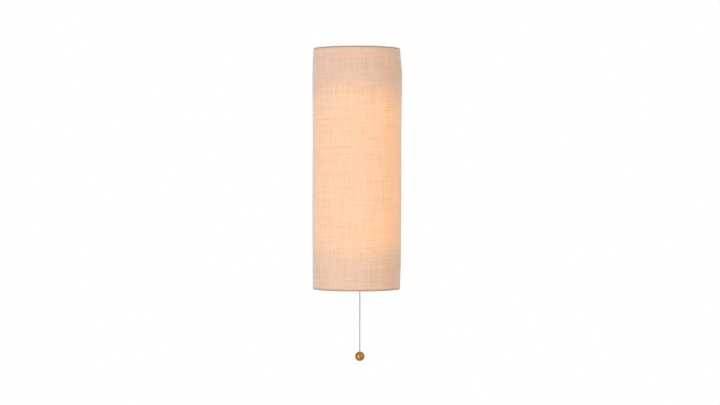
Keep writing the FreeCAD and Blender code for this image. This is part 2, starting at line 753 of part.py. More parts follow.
def make_bulb(where, low):
    """Opal globe on a flared collar, with its screw cap and centre contact."""
    seat = "sqrt(globe_radius ^ 2 - (globe_height - globe_seat) ^ 2)"
    spigot, spigot_foot = f"{seat} - globe_rim", "globe_seat - globe_spigot"
    turned(f"bulb_globe_{where}", [
        ("0", spigot_foot), (spigot, spigot_foot), (spigot, "globe_seat"), (seat, "globe_seat"),
        ("0", "globe_height + globe_radius", "0", "globe_height", ANTICLOCKWISE)],
        at=LAMP_AXIS, upside_down=low)
    turned(f"bulb_collar_{where}", [
        ("0", "collar_foot"), ("bulb_skirt + collar_foot_step", "collar_foot"),
        ("bulb_skirt + collar_step", "collar_foot + collar_foot_length"),
        (f"{seat} + collar_step", "globe_seat - collar_rim"), (f"{seat} + collar_step", "globe_seat"),
        (spigot, "globe_seat"), (spigot, spigot_foot), ("0", spigot_foot)],
        at=LAMP_AXIS, upside_down=low)
    insulator_foot = "bulb_cap_start - insulator_length"
    turned(f"bulb_cap_{where}", [
        ("0", insulator_foot), ("insulator_radius", insulator_foot),
        ("bulb_cap_radius - bulb_cap_chamfer", "bulb_cap_start"),
        ("bulb_cap_radius", "bulb_cap_start + bulb_cap_chamfer"),
        ("bulb_cap_radius", "sleeve_end + bulb_cap_chamfer"),
        ("bulb_skirt", "collar_foot - bulb_skirt_length"), ("bulb_skirt", "collar_foot"),
        ("0", "collar_foot")], at=LAMP_AXIS, upside_down=low)
    turned(f"bulb_contact_{where}", [
        ("0", "bulb_tip"), ("tip_radius", "bulb_tip"), ("tip_rim", "bulb_tip + tip_chamfer"),
        ("tip_rim", insulator_foot), ("0", insulator_foot)], at=LAMP_AXIS, upside_down=low)


# ---------------------------------------------------------------- pull switch
def make_switch_bracket():
    """An angle on the tray whose arm carries the pull switch."""
    bracket = new_body("switch_bracket", ("pull_right", "0", "0"))
    half = "switch_arm_width / 2"
    sketch = new_sketch(bracket, "YZ_Plane", minus(half))
    low = "switch_arm_height - switch_arm_sheet"
    leg_front = "-(tray_depth + switch_arm_sheet)"
    tip = f"-(lamp_forward + {half})"
    draw(sketch, [("-tray_depth", low), (tip, low), (tip, "switch_arm_height"),
                  (leg_front, "switch_arm_height"), (leg_front, "switch_leg_top"),
                  ("-tray_depth", "switch_leg_top")])
    round_tip(bracket, add_pad(bracket, sketch, "switch_arm_width"), tip)
    hole = new_sketch(bracket, "XY_Plane", "switch_arm_height")
    draw_circle(hole, "0", "-lamp_forward", "tube_hole")
    add_cut(bracket, hole, "switch_arm_sheet")
    holes = new_sketch(bracket, "XZ_Plane", minus(leg_front))
    for height in SWITCH_SCREW_HEIGHTS:
        draw_circle(holes, "0", height, "screw_hole")
    add_cut(bracket, holes, "switch_arm_sheet")
    group("switch_screws", [
        pan_head_screw("switch_screw", ("pull_right", "0", height), leg_front, "tray_screw_length")
        for height in SWITCH_SCREW_HEIGHTS])


def make_switch_housing():
    """Moulded case with its cover, and the two contact blades on its back wall."""
    case = new_body("switch_case", SWITCH_AXIS)
    half_width, half_depth = "case_width / 2", "case_depth / 2"
    sketch = new_sketch(case, "XY_Plane", "switch_arm_height")
    draw(sketch, rounded_rectangle(half_width, half_depth, "case_corner"))
    add_pad(case, sketch, "case_top - switch_arm_height")
    room = new_sketch(case, "XY_Plane", "case_top")
    draw(room, rounded_rectangle(f"{half_width} - case_wall", f"{half_depth} - case_wall",
                                 "case_room_corner"))
    add_cut(case, room, "case_top - switch_arm_height - case_wall")
    outlet = new_sketch(case, "XY_Plane", "switch_arm_height + case_wall")
    draw_circle(outlet, "0", "0", "tube_radius + tube_fit")
    add_cut(case, outlet, "case_wall")
    entries = new_sketch(case, "XZ_Plane", f"-({half_depth} - case_wall)")
    for side in ("switch_entry_spread", "-switch_entry_spread"):
        draw_circle(entries, side, "switch_entry_height", "lead_radius + lead_hole_gap")
    add_cut(case, entries, "case_wall")

    cover = new_body("switch_cover", SWITCH_AXIS)
    sketch = new_sketch(cover, "XY_Plane", "case_top")
    draw(sketch, rounded_rectangle(half_width, half_depth, "case_corner"))
    add_pad(cover, sketch, "cover_sheet")
    lip = new_sketch(cover, "XY_Plane", "case_top - cover_lip")
    draw(lip, rounded_rectangle(f"{half_width} - case_wall - cover_lip_gap",
                                f"{half_depth} - case_wall - cover_lip_gap",
                                "case_room_corner - cover_lip_gap"))
    add_pad(cover, lip, "cover_lip")

    blades = []
    for side in ("switch_entry_spread", "-switch_entry_spread"):
        place = (f"pull_right + {side}", "-lamp_forward", "switch_entry_height")
        blade = new_body("blade", place, kept=False)
        sketch = new_sketch(blade, "XZ_Plane", f"-({half_depth} - case_wall)")
        draw(sketch, rectangle("blade_half_width", "-blade_drop", "blade_rise"))
        add_pad(blade, sketch, "blade_sheet")
        blades.append(blade)
    group("switch_contacts", blades)


def make_switch_works():
    """Threaded bushing with its nut and ring, and the spring-loaded slider with its stem."""
    turned("switch_bushing", [
        ("bushing_bore", "bushing_end"), ("tube_radius - thread_chamfer", "bushing_end"),
        ("tube_radius", "bushing_end + thread_chamfer"),
        ("tube_radius", "switch_arm_height + case_wall"),
        ("bushing_flange", "switch_arm_height + case_wall"), ("bushing_flange", "bushing_flange_top"),
        ("bushing_bore", "bushing_flange_top")], at=SWITCH_AXIS)
    ring_top = "switch_arm_height - switch_arm_sheet - switch_nut_length"
    ring_foot = f"{ring_top} - switch_ring_length"
    bore = "tube_radius + tube_fit"
    nut = new_body("switch_nut", SWITCH_AXIS)
    sketch = new_sketch(nut, "XY_Plane", ring_top)
    draw(sketch, hexagon("hex_flats"))
    draw_circle(sketch, "0", "0", bore)
    add_pad(nut, sketch, "switch_nut_length")
    turned("switch_ring", [
        (bore, ring_foot), ("nut_head - nut_chamfer", ring_foot), ("nut_head", f"{ring_foot} + nut_chamfer"),
        ("nut_head", ring_top), (bore, ring_top)], at=SWITCH_AXIS)

    flange_top = "slider_foot + slider_flange"
    stem_top = "slider_top - stem_in_slider"
    turned("switch_slider", [
        ("stem_radius", "slider_foot"), ("slider_radius", "slider_foot"), ("slider_radius", flange_top),
        ("slider_boss", f"{flange_top} + slider_taper"), ("slider_boss", "slider_top"),
        ("0", "slider_top"), ("0", stem_top), ("stem_radius", stem_top)], at=SWITCH_AXIS)
    neck = "stem_ball_height + sqrt(stem_ball ^ 2 - stem_neck ^ 2)"
    turned("pull_stem", [
        ("0", stem_top), ("stem_radius", stem_top), ("stem_radius", "stem_neck_top + stem_taper"),
        ("stem_neck", "stem_neck_top"), ("stem_neck", neck),
        ("0", "stem_ball_height - stem_ball", "0", "stem_ball_height", CLOCKWISE)], at=SWITCH_AXIS)
    turned("return_spring", [
        ("spring_inner", "bushing_flange_top"), ("spring_outer", "bushing_flange_top"),
        ("spring_outer", "slider_foot"), ("spring_inner", "slider_foot")], at=SWITCH_AXIS)


# ---------------------------------------------------------------- cord
def make_cord():
    """Brass link with two sockets, the cord with its knot, and the turned ball."""
    top = "stem_ball_height + stem_socket * cos(socket_opening)"
    foot = "knot_height - knot_socket * cos(socket_opening)"
    waist = "(stem_ball_height - stem_socket + knot_height + knot_socket) / 2"
    outer = "knot_socket + connector_wall"
    turned("cord_connector", [
        ("stem_socket * sin(socket_opening)", top, "0", "stem_ball_height", ANTICLOCKWISE),
        ("stem_socket + connector_wall", top), ("stem_socket + connector_wall", waist),
        (outer, f"{waist} - connector_taper"), (outer, foot), ("knot_socket * sin(socket_opening)", foot),
        ("0", "knot_height + knot_socket", "0", "knot_height", ANTICLOCKWISE),
        ("0", "stem_ball_height - stem_socket")], at=SWITCH_AXIS)
    knot_foot = "knot_height - sqrt(knot_radius ^ 2 - cord_radius ^ 2)"
    turned("cord_knot", [
        ("0", knot_foot), ("cord_radius", knot_foot),
        ("0", "knot_height + knot_radius", "0", "knot_height", ANTICLOCKWISE)], at=SWITCH_AXIS)
    seat = "pull_ball_height - cord_seat"
    turned("cord", [("0", seat), ("cord_radius", seat), ("cord_radius", knot_foot), ("0", knot_foot)],
           at=SWITCH_AXIS)
    turned("cord_ball", [
        ("0", "pull_ball_height - pull_ball"),
        ("pull_ball_bore", "pull_ball_height + sqrt(pull_ball ^ 2 - pull_ball_bore ^ 2)",
         "0", "pull_ball_height", ANTICLOCKWISE),
        ("pull_ball_bore", seat), ("0", seat)], at=SWITCH_AXIS)


# ---------------------------------------------------------------- wires
def wire_shape(points):
    """A round wire of straight runs joined by tangent arcs of one radius."""
    radius, bend = size("lead_radius"), size("lead_bend")
    corners = [Vector(*point) for point in points]
    edges = []
    begin = corners[0]
    for before, corner, after in zip(corners, corners[1:], corners[2:]):
        arriving = (corner - before).normalize()
        leaving = (after - corner).normalize()
        turn = arriving.getAngle(leaving)
        setback = bend * math.tan(turn / 2)
        arc_start = corner - arriving * setback
        arc_end = corner + leaving * setback
        inward = (leaving - arriving).normalize()
        middle = corner + inward * (setback / math.sin(turn / 2) * (1 - math.cos(turn / 2)))
        if (arc_start - begin).dot(arriving) <= 0:
            raise RuntimeError("two bends of a wire run into each other")
        edges.append(Part.LineSegment(begin, arc_start).toShape())
        edges.append(Part.Arc(arc_start, middle, arc_end).toShape())
        begin = arc_end
    edges.append(Part.LineSegment(begin, corners[-1]).toShape())
    path = Part.Wire(edges)
    section = Part.Wire([Part.Circle(corners[0], corners[1] - corners[0], radius).toShape()])
    solid = path.makePipeShell([section], True, False)
    expected = math.pi * radius ** 2 * path.Length
    if abs(solid.Volume - expected) > 0.01 * expected:
        raise RuntimeError("a wire's volume differs from its section times its length")
    return solid


def add_wire(name, *routes):
    """One wire, or a few alike, kept as one sub-part."""
    wire = document.addObject("Part::Feature", name)
    wire.Label = name
    shapes = [wire_shape(route) for route in routes]
    wire.Shape = shapes[0] if len(shapes) == 1 else Part.makeCompound(shapes)
    subparts.append(wire)


def make_wires():
    """Leads run in the tray's recess, and through the grommets to the lamps and the switch.

    The turns between a lead's two ends are placed by hand, as a wireman lays them.
    """
    depth, axis, apart = -size("recess_wire_depth"), -size("lamp_forward"), size("lead_spread")
    behind, ahead = axis + apart, axis - apart
    holder_inside = size("channel_inner + channel_sheet + lead_in_holder")
    pole = size("pole_spread")
    block_top = size("block_place + block_half_height - lead_in_block")
    block_foot = size("block_place - block_half_height + lead_in_block")
    entry_height = size("switch_entry_height")
    first_blade = size("pull_right + switch_entry_spread")
    second_blade = size("pull_right - switch_entry_spread")
    blade_face = axis + size("case_depth / 2 - case_wall")
    earth_height = size("earth_height")
    earth_end = size("earth_right + screw_head + lead_to_earth")
    add_wire("wire_neutral", [
        (-pole, depth, block_top), (-pole, depth, -42), (-apart, depth, -28), (-apart, depth, 0),
        (-apart, behind, 0), (-apart, behind, -holder_inside)])
    add_wire("wire_switched", [
        (first_blade, blade_face, entry_height), (first_blade, depth, entry_height),
        (first_blade, depth, -128), (20, depth, -112), (20, depth, -44), (apart, depth, -24),
        (apart, depth, 0), (apart, behind, 0), (apart, behind, -holder_inside)])
    add_wire("wire_live", [
        (pole, depth, block_foot), (pole, depth, -84), (second_blade, depth, -100),
        (second_blade, depth, entry_height), (second_blade, blade_face, entry_height)])
    add_wire("wire_earth", [
        (0, depth, block_foot), (0, depth, -78), (-12, depth, earth_height),
        (earth_end, depth, earth_height)])
    add_wire("wire_links", *[[(side, ahead, -holder_inside), (side, ahead, holder_inside)]
                             for side in (-apart, apart)])


# ---------------------------------------------------------------- the whole light
def build():
    """Make every sub-part, from the shade back to the wall and inwards to the wires."""
    make_shade()
    make_thumb_nuts()
    make_wall_strap()
    make_tray()
    make_tray_fasteners()
    make_terminals()
    make_lamp_bracket()
    make_threaded_tubes()
    for where, low in (("upper", False), ("lower", True)):
        make_lampholder(where, low)
        make_bulb(where, low)
    make_switch_bracket()
    make_switch_housing()
    make_switch_works()
    make_cord()
    make_wires()


def check():
    """Stop if a feature failed or a sub-part has no sound solid."""
    for item in document.Objects:
        if {"Invalid", "Error"} & set(item.State):
            raise RuntimeError(f"{item.Label}: {item.State}")
    for part in subparts:
        if part.Shape.isNull() or not part.Shape.isValid() or not part.Shape.Solids:
            raise RuntimeError(f"{part.Label} has no sound solid")


def export():
    """Write each sub-part to its own file."""
    os.makedirs("parts", exist_ok=True)
    for part in subparts:
        part.Shape.exportStep(f"parts/{part.Label}.step")
        print(f"{part.Label:24s} {part.Shape.Volume / 1000:9.3f} cm3  solids {len(part.Shape.Solids)}")


build()
document.recompute()
check()
export()
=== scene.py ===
"""Looks of the fabric shade wall light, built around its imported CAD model.

The shade, the pull cord and the turned, knurled and threaded pieces are modelled here.
Every other CAD node keeps its shape and is given its finish.
"""

import json
import logging
import math
from dataclasses import dataclass, replace
from enum import Enum
from typing import Callable, Sequence, Union

import bmesh
import bpy
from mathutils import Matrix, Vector

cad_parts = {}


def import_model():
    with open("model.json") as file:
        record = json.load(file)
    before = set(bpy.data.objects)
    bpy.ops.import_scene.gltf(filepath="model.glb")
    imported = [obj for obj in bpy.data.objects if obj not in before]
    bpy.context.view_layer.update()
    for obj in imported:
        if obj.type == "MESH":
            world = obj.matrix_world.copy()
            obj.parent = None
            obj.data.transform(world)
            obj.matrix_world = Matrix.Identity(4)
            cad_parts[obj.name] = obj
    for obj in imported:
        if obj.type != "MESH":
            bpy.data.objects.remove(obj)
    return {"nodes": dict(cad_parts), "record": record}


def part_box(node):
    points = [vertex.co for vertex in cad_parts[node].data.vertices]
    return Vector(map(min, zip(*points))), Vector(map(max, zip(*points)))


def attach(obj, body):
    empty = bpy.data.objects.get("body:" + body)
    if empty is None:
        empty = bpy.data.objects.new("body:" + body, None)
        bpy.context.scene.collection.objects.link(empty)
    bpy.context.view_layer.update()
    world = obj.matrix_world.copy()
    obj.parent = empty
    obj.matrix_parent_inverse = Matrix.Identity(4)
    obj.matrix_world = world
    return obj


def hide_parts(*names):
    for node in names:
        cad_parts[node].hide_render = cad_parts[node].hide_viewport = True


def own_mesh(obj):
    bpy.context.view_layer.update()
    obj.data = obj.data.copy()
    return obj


LOG = logging.getLogger("wall_light")
MM = 0.001
NEAR = 0.001 * MM  # how close two corners of a solid lie when they are one
SLACK = 0.02 * MM  # the same for a sheet, and how far off a picked vertex may be

Point = tuple[float, float, float]
Colour = tuple[float, float, float]
Span = tuple[float, float]
Feed = Union[float, Sequence[float], bpy.types.NodeSocket]
Sockets = dict[str, bpy.types.NodeSocket]


def mm(*sizes: float) -> tuple[float, ...]:
    """Millimetres as metres."""
    return tuple(size * MM for size in sizes)


UPWARDS: Point = (0.0, 0.0, 1.0)
DOWNWARDS: Point = (0.0, 0.0, -1.0)
TO_ROOM: Point = (0.0, -1.0, 0.0)
SIDES = (-1.0, 1.0)
BAR_HEIGHTS = mm(150.0, -130.0)
LAMP_AXIS: Point = mm(0.0, -50.0, 0.0)


class Lamp(Enum):
    """The two lamps, each with the way that its holder points."""

    UPPER = UPWARDS
    LOWER = DOWNWARDS

    @property
    def label(self) -> str:
        """The lamp's word in the names of pieces, nodes and bodies."""
        return self.name.lower()


# --- Shader building ---------------------------------------------------------------------------


class Graph:
    """Adds nodes to one node tree and joins their sockets."""

    def __init__(self, tree: bpy.types.NodeTree) -> None:
        """Keep the tree that the nodes go into.

        Args:
            tree: the node tree of a material, a world or a group.
        """
        self.tree = tree

    def feed(self, socket: bpy.types.NodeSocket, value: Feed) -> None:
        """Link a socket to the input, or set the input's own value.

        Args:
            socket: the input socket.
            value: an output socket, or a number, colour or vector.
        """
        if isinstance(value, bpy.types.NodeSocket):
            self.tree.links.new(value, socket)
        elif isinstance(value, (tuple, list)) and len(value) == 3 and socket.type == "RGBA":
            socket.default_value = (*value, 1.0)
        else:
            socket.default_value = value

    def fill(self, node: bpy.types.Node, inputs: dict[Union[str, int], Feed]) -> None:
        """Feed several inputs of one node.

        Args:
            node: the node.
            inputs: what its inputs are fed with, by name or index.
        """
        for key, value in inputs.items():
            self.feed(node.inputs[key], value)

    def node(self, kind: str, inputs: dict[Union[str, int], Feed] | None = None,
             **settings: object) -> bpy.types.Node:
        """Add one node.

        Args:
            kind: the node's Blender type name.
            inputs: what its inputs are fed with, by name or index.
            **settings: the node's own properties.

        Returns:
            The new node.
        """
        made = self.tree.nodes.new(kind)
        for name, value in settings.items():
            setattr(made, name, value)
        self.fill(made, inputs or {})
        return made

    def math(self, operation: str, *values: Feed) -> bpy.types.NodeSocket:
        """Work out one number from others.

        Args:
            operation: the Math node's operation.
            *values: its inputs, in order.

        Returns:
            The result's socket.
        """
        return self.node("ShaderNodeMath", dict(enumerate(values)), operation=operation).outputs[0]

    def ramp(self, value: Feed, low: Feed, high: Feed, at_low: Feed = 0.0,
             at_high: Feed = 1.0) -> bpy.types.NodeSocket:
        """Turn a value smoothly from one number into another between two limits.

        Args:
            value: the value that drives it.
            low: the value where the turn starts.
            high: the value where it ends.
            at_low: the result up to the start.
            at_high: the result past the end.

        Returns:
            The result's socket.
        """
        inputs = {"Value": value, "From Min": low, "From Max": high, "To Min": at_low, "To Max": at_high}
        return self.node("ShaderNodeMapRange", inputs, interpolation_type="SMOOTHSTEP").outputs["Result"]

    def mix(self, share: Feed, first: Feed, second: Feed) -> bpy.types.NodeSocket:
        """Mix two colours.

        Args:
            share: how much of the second, from 0 to 1.
            first: the first colour.
            second: the second colour.

        Returns:
            The mixed colour's socket.
        """
        return self.node("ShaderNodeMix", {0: share, 6: first, 7: second}, data_type="RGBA").outputs[2]

    def times(self, first: Feed, second: Feed) -> bpy.types.NodeSocket:
        """Multiply a vector or colour by another one, or by a number."""
        return self.node("ShaderNodeVectorMath", {0: first, 1: second}, operation="MULTIPLY").outputs[0]

    def split(self, place: Feed) -> Sequence[bpy.types.NodeSocket]:
        """The sockets of a place's three coordinates."""
        return self.node("ShaderNodeSeparateXYZ", {0: place}).outputs

    def bump(self, height: Feed, strength: float, distance: float) -> bpy.types.NodeSocket:
        """Raise a surface by a pattern.

        Args:
            height: the pattern, from 0 to 1.
            strength: how much of the bump shows.
            distance: how high the pattern's 1 stands.

        Returns:
            The normal's socket.
        """
        inputs = {"Height": height, "Strength": strength, "Distance": distance}
        return self.node("ShaderNodeBump", inputs).outputs["Normal"]

    def noise(self, place: Feed, stretch: Point, detail: float = 2.0) -> bpy.types.NodeSocket:
        """Noise on stretched coordinates.

        Args:
            place: the coordinates, in metres.
            stretch: bumps per metre along each axis.
            detail: the noise's detail.

        Returns:
            The noise value's socket, around 0.5.
        """
        mapped = self.node("ShaderNodeMapping", {"Vector": place, "Scale": stretch}).outputs["Vector"]
        inputs = {"Vector": mapped, "Scale": 1.0, "Detail": detail}
        return self.node("ShaderNodeTexNoise", inputs).outputs["Fac"]


def shared_group(name: str, inputs: dict[str, tuple[str, Feed]], outputs: dict[str, str],
                 build: Callable[[Graph, bpy.types.Node], Sockets]) -> bpy.types.NodeTree:
    """Make a shader node group once, and hand back the same one afterwards.

    Args:
        name: the group's name.
        inputs: its inputs, each with a socket type and a first value.
        outputs: its outputs, each with a socket type.
        build: lays the nodes, given the graph and the input node, and returns what feeds each output.

    Returns:
        The group's node tree.
    """
    known = bpy.data.node_groups.get(name)
    if known:
        return known
    tree = bpy.data.node_groups.new(name, "ShaderNodeTree")
    for label, (kind, value) in inputs.items():
        socket = tree.interface.new_socket(name=label, in_out="INPUT", socket_type=kind)
        if kind != "NodeSocketVector":
            socket.default_value = (*value, 1.0) if kind == "NodeSocketColor" else value
    for label, kind in outputs.items():
        tree.interface.new_socket(name=label, in_out="OUTPUT", socket_type=kind)
    graph = Graph(tree)
    results = build(graph, tree.nodes.new("NodeGroupInput"))
    end = tree.nodes.new("NodeGroupOutput")
    for label, socket in results.items():
        tree.links.new(socket, end.inputs[label])
    return tree


def new_material(name: str) -> tuple[bpy.types.Material, Graph, bpy.types.Node, bpy.types.NodeSocket]:
    """Start a material.

    Args:
        name: its name.

    Returns:
        The material, its graph, its Principled shader and the socket of object coordinates.
    """
    material = bpy.data.materials.new(name)
    material.use_nodes = True
    graph = Graph(material.node_tree)
    place = graph.node("ShaderNodeTexCoord").outputs["Object"]
    return material, graph, material.node_tree.nodes["Principled BSDF"], place


@dataclass(frozen=True)
class PlainWeave:
    """Threads over and under each other, with thick places in them, as a shared node group.

    The warp runs up the cloth and the weft across it. Sways and slubs are stretched noises, in bumps
    per metre across and up the cloth. Each fade is the span of values in which a gap or slub comes in.
    """

    sway: float = 1.1
    warp_sway: Point = (900.0, 60.0, 1.0)
    weft_sway: Point = (60.0, 900.0, 1.0)
    under: float = 0.5
    gap_fade: Span = (0.25, 0.75)
    warp_slubs: Point = (950.0, 26.0, 1.0)
    warp_slub_fade: Span = (0.58, 0.72)
    weft_slubs: Point = (24.0, 900.0, 1.0)
    weft_slub_fade: Span = (0.56, 0.70)
    slub_rise: float = 0.9
    pitch: float = 0.55 * MM

    def lay(self, graph: Graph, entry: bpy.types.Node) -> Sockets:
        """Lay the group's nodes.

        Args:
            graph: the group's graph.
            entry: the group's input node, with Cloth in metres and Pitch in metres.

        Returns:
            The sockets for Height, Gap and Slub.
        """
        cloth, pitch = entry.outputs["Cloth"], entry.outputs["Pitch"]
        across, along, _ = graph.split(cloth)
        sway_across = graph.noise(cloth, self.warp_sway, 1.0)
        sway_along = graph.noise(cloth, self.weft_sway, 1.0)
        warp = graph.math("MULTIPLY_ADD", sway_across, self.sway, graph.math("DIVIDE", across, pitch))
        weft = graph.math("MULTIPLY_ADD", sway_along, self.sway, graph.math("DIVIDE", along, pitch))
        crossing = graph.math("ADD", graph.math("FLOOR", warp), graph.math("FLOOR", weft))
        over = graph.math("PINGPONG", crossing, 1.0)
        crown_warp = graph.math("SINE", graph.math("MULTIPLY", graph.math("FRACT", warp), math.pi))
        crown_weft = graph.math("SINE", graph.math("MULTIPLY", graph.math("FRACT", weft), math.pi))
        warp_level = graph.math("MULTIPLY_ADD", over, 1.0 - self.under, self.under)
        weft_level = graph.math("MULTIPLY_ADD", over, self.under - 1.0, 1.0)
        height = graph.math("MAXIMUM", graph.math("MULTIPLY", crown_warp, warp_level),
                            graph.math("MULTIPLY", crown_weft, weft_level))
        gap = graph.ramp(graph.math("MAXIMUM", crown_warp, crown_weft), *self.gap_fade, 1.0, 0.0)
        slub_warp = graph.ramp(graph.noise(cloth, self.warp_slubs), *self.warp_slub_fade)
        slub_weft = graph.ramp(graph.noise(cloth, self.weft_slubs), *self.weft_slub_fade)
        slub = graph.math("MAXIMUM", slub_warp, slub_weft)
        return {"Height": graph.math("MULTIPLY_ADD", slub, self.slub_rise, height), "Gap": gap, "Slub": slub}

    def group(self) -> bpy.types.NodeTree:
        """The weave's node group.

        Returns:
            The group's node tree.
        """
        return shared_group(
            "Plain weave",
            {"Cloth": ("NodeSocketVector", 0.0), "Pitch": ("NodeSocketFloat", self.pitch)},
            {"Height": "NodeSocketFloat", "Gap": "NodeSocketFloat", "Slub": "NodeSocketFloat"},
            self.lay)


@dataclass(frozen=True)
class WorkedSurface:
    """The made surface that metals, plastics, paint and rubber share, as a shared node group."""

    grain_detail: float = 3.0
    patches: Point = (38.0, 38.0, 38.0)
    patch_detail: float = 3.0
    patch_fade: Span = (0.38, 0.68)
    film_roughness: float = 0.25

    def lay(self, graph: Graph, entry: bpy.types.Node) -> Sockets:
        """Lay the group's nodes: the grain, and patches of dull film on it.

        Args:
            graph: the group's graph.
            entry: the group's input node.

        Returns:
            The sockets for Colour, Roughness and Height.
        """
        given = entry.outputs
        inputs = {"Vector": graph.times(given["Place"], given["Stretch"]), "Scale": 1.0,
                  "Detail": self.grain_detail}
        grain = graph.node("ShaderNodeTexNoise", inputs).outputs["Fac"]
        patch = graph.ramp(graph.noise(given["Place"], self.patches, self.patch_detail), *self.patch_fade)
        film = graph.math("MULTIPLY", patch, given["Film"])
        toned = graph.mix(film, given["Colour"], given["Film colour"])
        centred = graph.math("SUBTRACT", grain, 0.5)
        lighter = graph.math("MULTIPLY_ADD", centred, given["Contrast"], 1.0)
        rough = graph.math("MULTIPLY_ADD", centred, given["Rough spread"], given["Roughness"])
        rough = graph.math("MULTIPLY_ADD", film, self.film_roughness, rough)
        return {"Colour": graph.times(toned, lighter), "Roughness": rough, "Height": grain}

    def group(self) -> bpy.types.NodeTree:
        """The surface's node group.

        Returns:
            The group's node tree.
        """
        return shared_group(
            "Worked surface",
            {"Place": ("NodeSocketVector", 0.0), "Stretch": ("NodeSocketVector", 0.0),
             "Colour": ("NodeSocketColor", (0.8, 0.8, 0.8)),
             "Film colour": ("NodeSocketColor", (0.4, 0.4, 0.4)),
             "Film": ("NodeSocketFloat", 0.1), "Contrast": ("NodeSocketFloat", 0.1),
             "Roughness": ("NodeSocketFloat", 0.5), "Rough spread": ("NodeSocketFloat", 0.1)},
            {"Colour": "NodeSocketColor", "Roughness": "NodeSocketFloat", "Height": "NodeSocketFloat"},
            self.lay)


class Grain(Enum):
    """How a surface was worked, as grain bumps per metre along X, Y and Z."""

    MOULDED = (2200.0, 2200.0, 2200.0)
    PAINTED = (900.0, 900.0, 900.0)
    SPANGLED = (160.0, 160.0, 160.0)
    ROLLED = (90.0, 90.0, 4200.0)
    TURNED_UPRIGHT = (120.0, 120.0, 9000.0)
    TURNED_LEVEL = (120.0, 9000.0, 120.0)
    BLASTED = (1500.0, 1500.0, 1500.0)


@dataclass(frozen=True)
class Finish:
    """One finish: a base colour with the grain, unevenness and gloss that its making leaves."""

    name: str
    colour: Colour
    grain: Grain = Grain.MOULDED
    roughness: float = 0.45
    rough_spread: float = 0.12
    contrast: float = 0.08
    film: float = 0.12
    film_colour: Colour = (0.45, 0.42, 0.38)
    bump: float = 0.08
    metallic: float = 0.0
    coat: float = 0.0
    # emission: the opal bulbs' own light, and a painted lamp glow on the liner
    glow: float = 0.0
    glow_colour: Colour = (1.0, 1.0, 1.0)
    bump_height: float = 0.2 * MM

    def make(self) -> bpy.types.Material:
        """Build the material, or hand back the one already built.

        Returns:
            The material.
        """
        known = bpy.data.materials.get(self.name)
        if known:
            return known
        material, graph, shader, place = new_material(self.name)
        surface = graph.node("ShaderNodeGroup", {
            "Place": place, "Stretch": self.grain.value, "Colour": self.colour,
            "Film colour": self.film_colour, "Film": self.film, "Contrast": self.contrast,
            "Roughness": self.roughness, "Rough spread": self.rough_spread,
        }, node_tree=WorkedSurface().group()).outputs
        graph.fill(shader, {
            "Base Color": surface["Colour"], "Roughness": surface["Roughness"],
            "Normal": graph.bump(surface["Height"], self.bump, self.bump_height),
            "Metallic": self.metallic, "Coat Weight": self.coat,
            "Emission Strength": self.glow, "Emission Color": self.glow_colour,
        })
        return material


FRAME_PAINT = Finish("White frame paint", (0.84, 0.82, 0.77), Grain.PAINTED, 0.38, film=0.15, coat=0.15)
NICKEL = Finish("Nickel plate", (0.72, 0.69, 0.64), Grain.TURNED_LEVEL, 0.24, metallic=1.0, bump=0.15)
NICKEL_UPRIGHT = replace(NICKEL, name="Nickel plate, turned upright", grain=Grain.TURNED_UPRIGHT)
ZINC_SHEET = Finish("Galvanised sheet", (0.56, 0.57, 0.58), Grain.SPANGLED, 0.42, 0.3, 0.35, metallic=1.0,
                    film_colour=(0.5, 0.5, 0.5), bump=0.05)
BRIGHT_ZINC = Finish("Bright zinc", (0.62, 0.62, 0.6), Grain.BLASTED, 0.3, metallic=1.0)
RUBBER = Finish("Black rubber", (0.028, 0.027, 0.026), Grain.MOULDED, 0.75, film_colour=(0.12, 0.11, 0.1))
BLOCK_PLASTIC = Finish("Terminal plastic", (0.78, 0.77, 0.7), Grain.MOULDED, 0.35, coat=0.2)
YELLOW_ZINC = Finish("Plated tube", (0.62, 0.56, 0.42), Grain.TURNED_UPRIGHT, 0.34, metallic=1.0)
HOLDER_PLASTIC = Finish("Lampholder plastic", (0.82, 0.79, 0.72), Grain.MOULDED, 0.34, coat=0.25)
BRIGHT_BRASS = Finish("Contact brass", (0.72, 0.52, 0.2), Grain.BLASTED, 0.28, metallic=1.0)
OPAL = Finish("Opal bulb", (0.92, 0.88, 0.78), Grain.MOULDED, 0.4, film=0.0, coat=0.3, glow=3.5,
              glow_colour=(1.0, 0.66, 0.34))
BULB_WHITE = Finish("Bulb collar white", (0.85, 0.84, 0.8), Grain.MOULDED, 0.4)
BULB_NICKEL = Finish("Bulb cap nickel", (0.66, 0.64, 0.6), Grain.TURNED_UPRIGHT, 0.3, metallic=1.0)
SWITCH_BLACK = Finish("Switch black", (0.032, 0.031, 0.03), Grain.MOULDED, 0.42, coat=0.15,
                      film_colour=(0.14, 0.13, 0.12))
SPRING_STEEL = Finish("Spring steel", (0.42, 0.42, 0.43), Grain.BLASTED, 0.3, metallic=1.0)
PULL_BRASS = Finish("Satin brass", (0.46, 0.205, 0.030), Grain.TURNED_UPRIGHT, 0.25, 0.1, 0.14, film=0.35,
                    film_colour=(0.30, 0.13, 0.03), metallic=1.0, bump=0.06, coat=0.6)
LEAD_BLACK = Finish("Black lead", (0.02, 0.02, 0.02), Grain.MOULDED, 0.4)
LEAD_WHITE = Finish("White lead", (0.78, 0.78, 0.75), Grain.MOULDED, 0.4)
LEAD_RED = Finish("Red lead", (0.42, 0.03, 0.02), Grain.MOULDED, 0.4)
LEAD_GREEN = Finish("Green lead", (0.03, 0.24, 0.07), Grain.MOULDED, 0.4)
PALE_FLOOR = Finish("Pale floor", (0.86, 0.85, 0.83), Grain.PAINTED, 0.8, 0.04, 0.01, film=0.0, bump=0.02)
# the liner's glow is painted light: an orange emission that stands in for the lamps' light on it
LINER_WITH_PAINTED_GLOW = Finish("Shade liner", (0.9, 0.84, 0.74), Grain.PAINTED, 0.6, glow=0.6, glow_colour=(1.0, 0.64, 0.27))

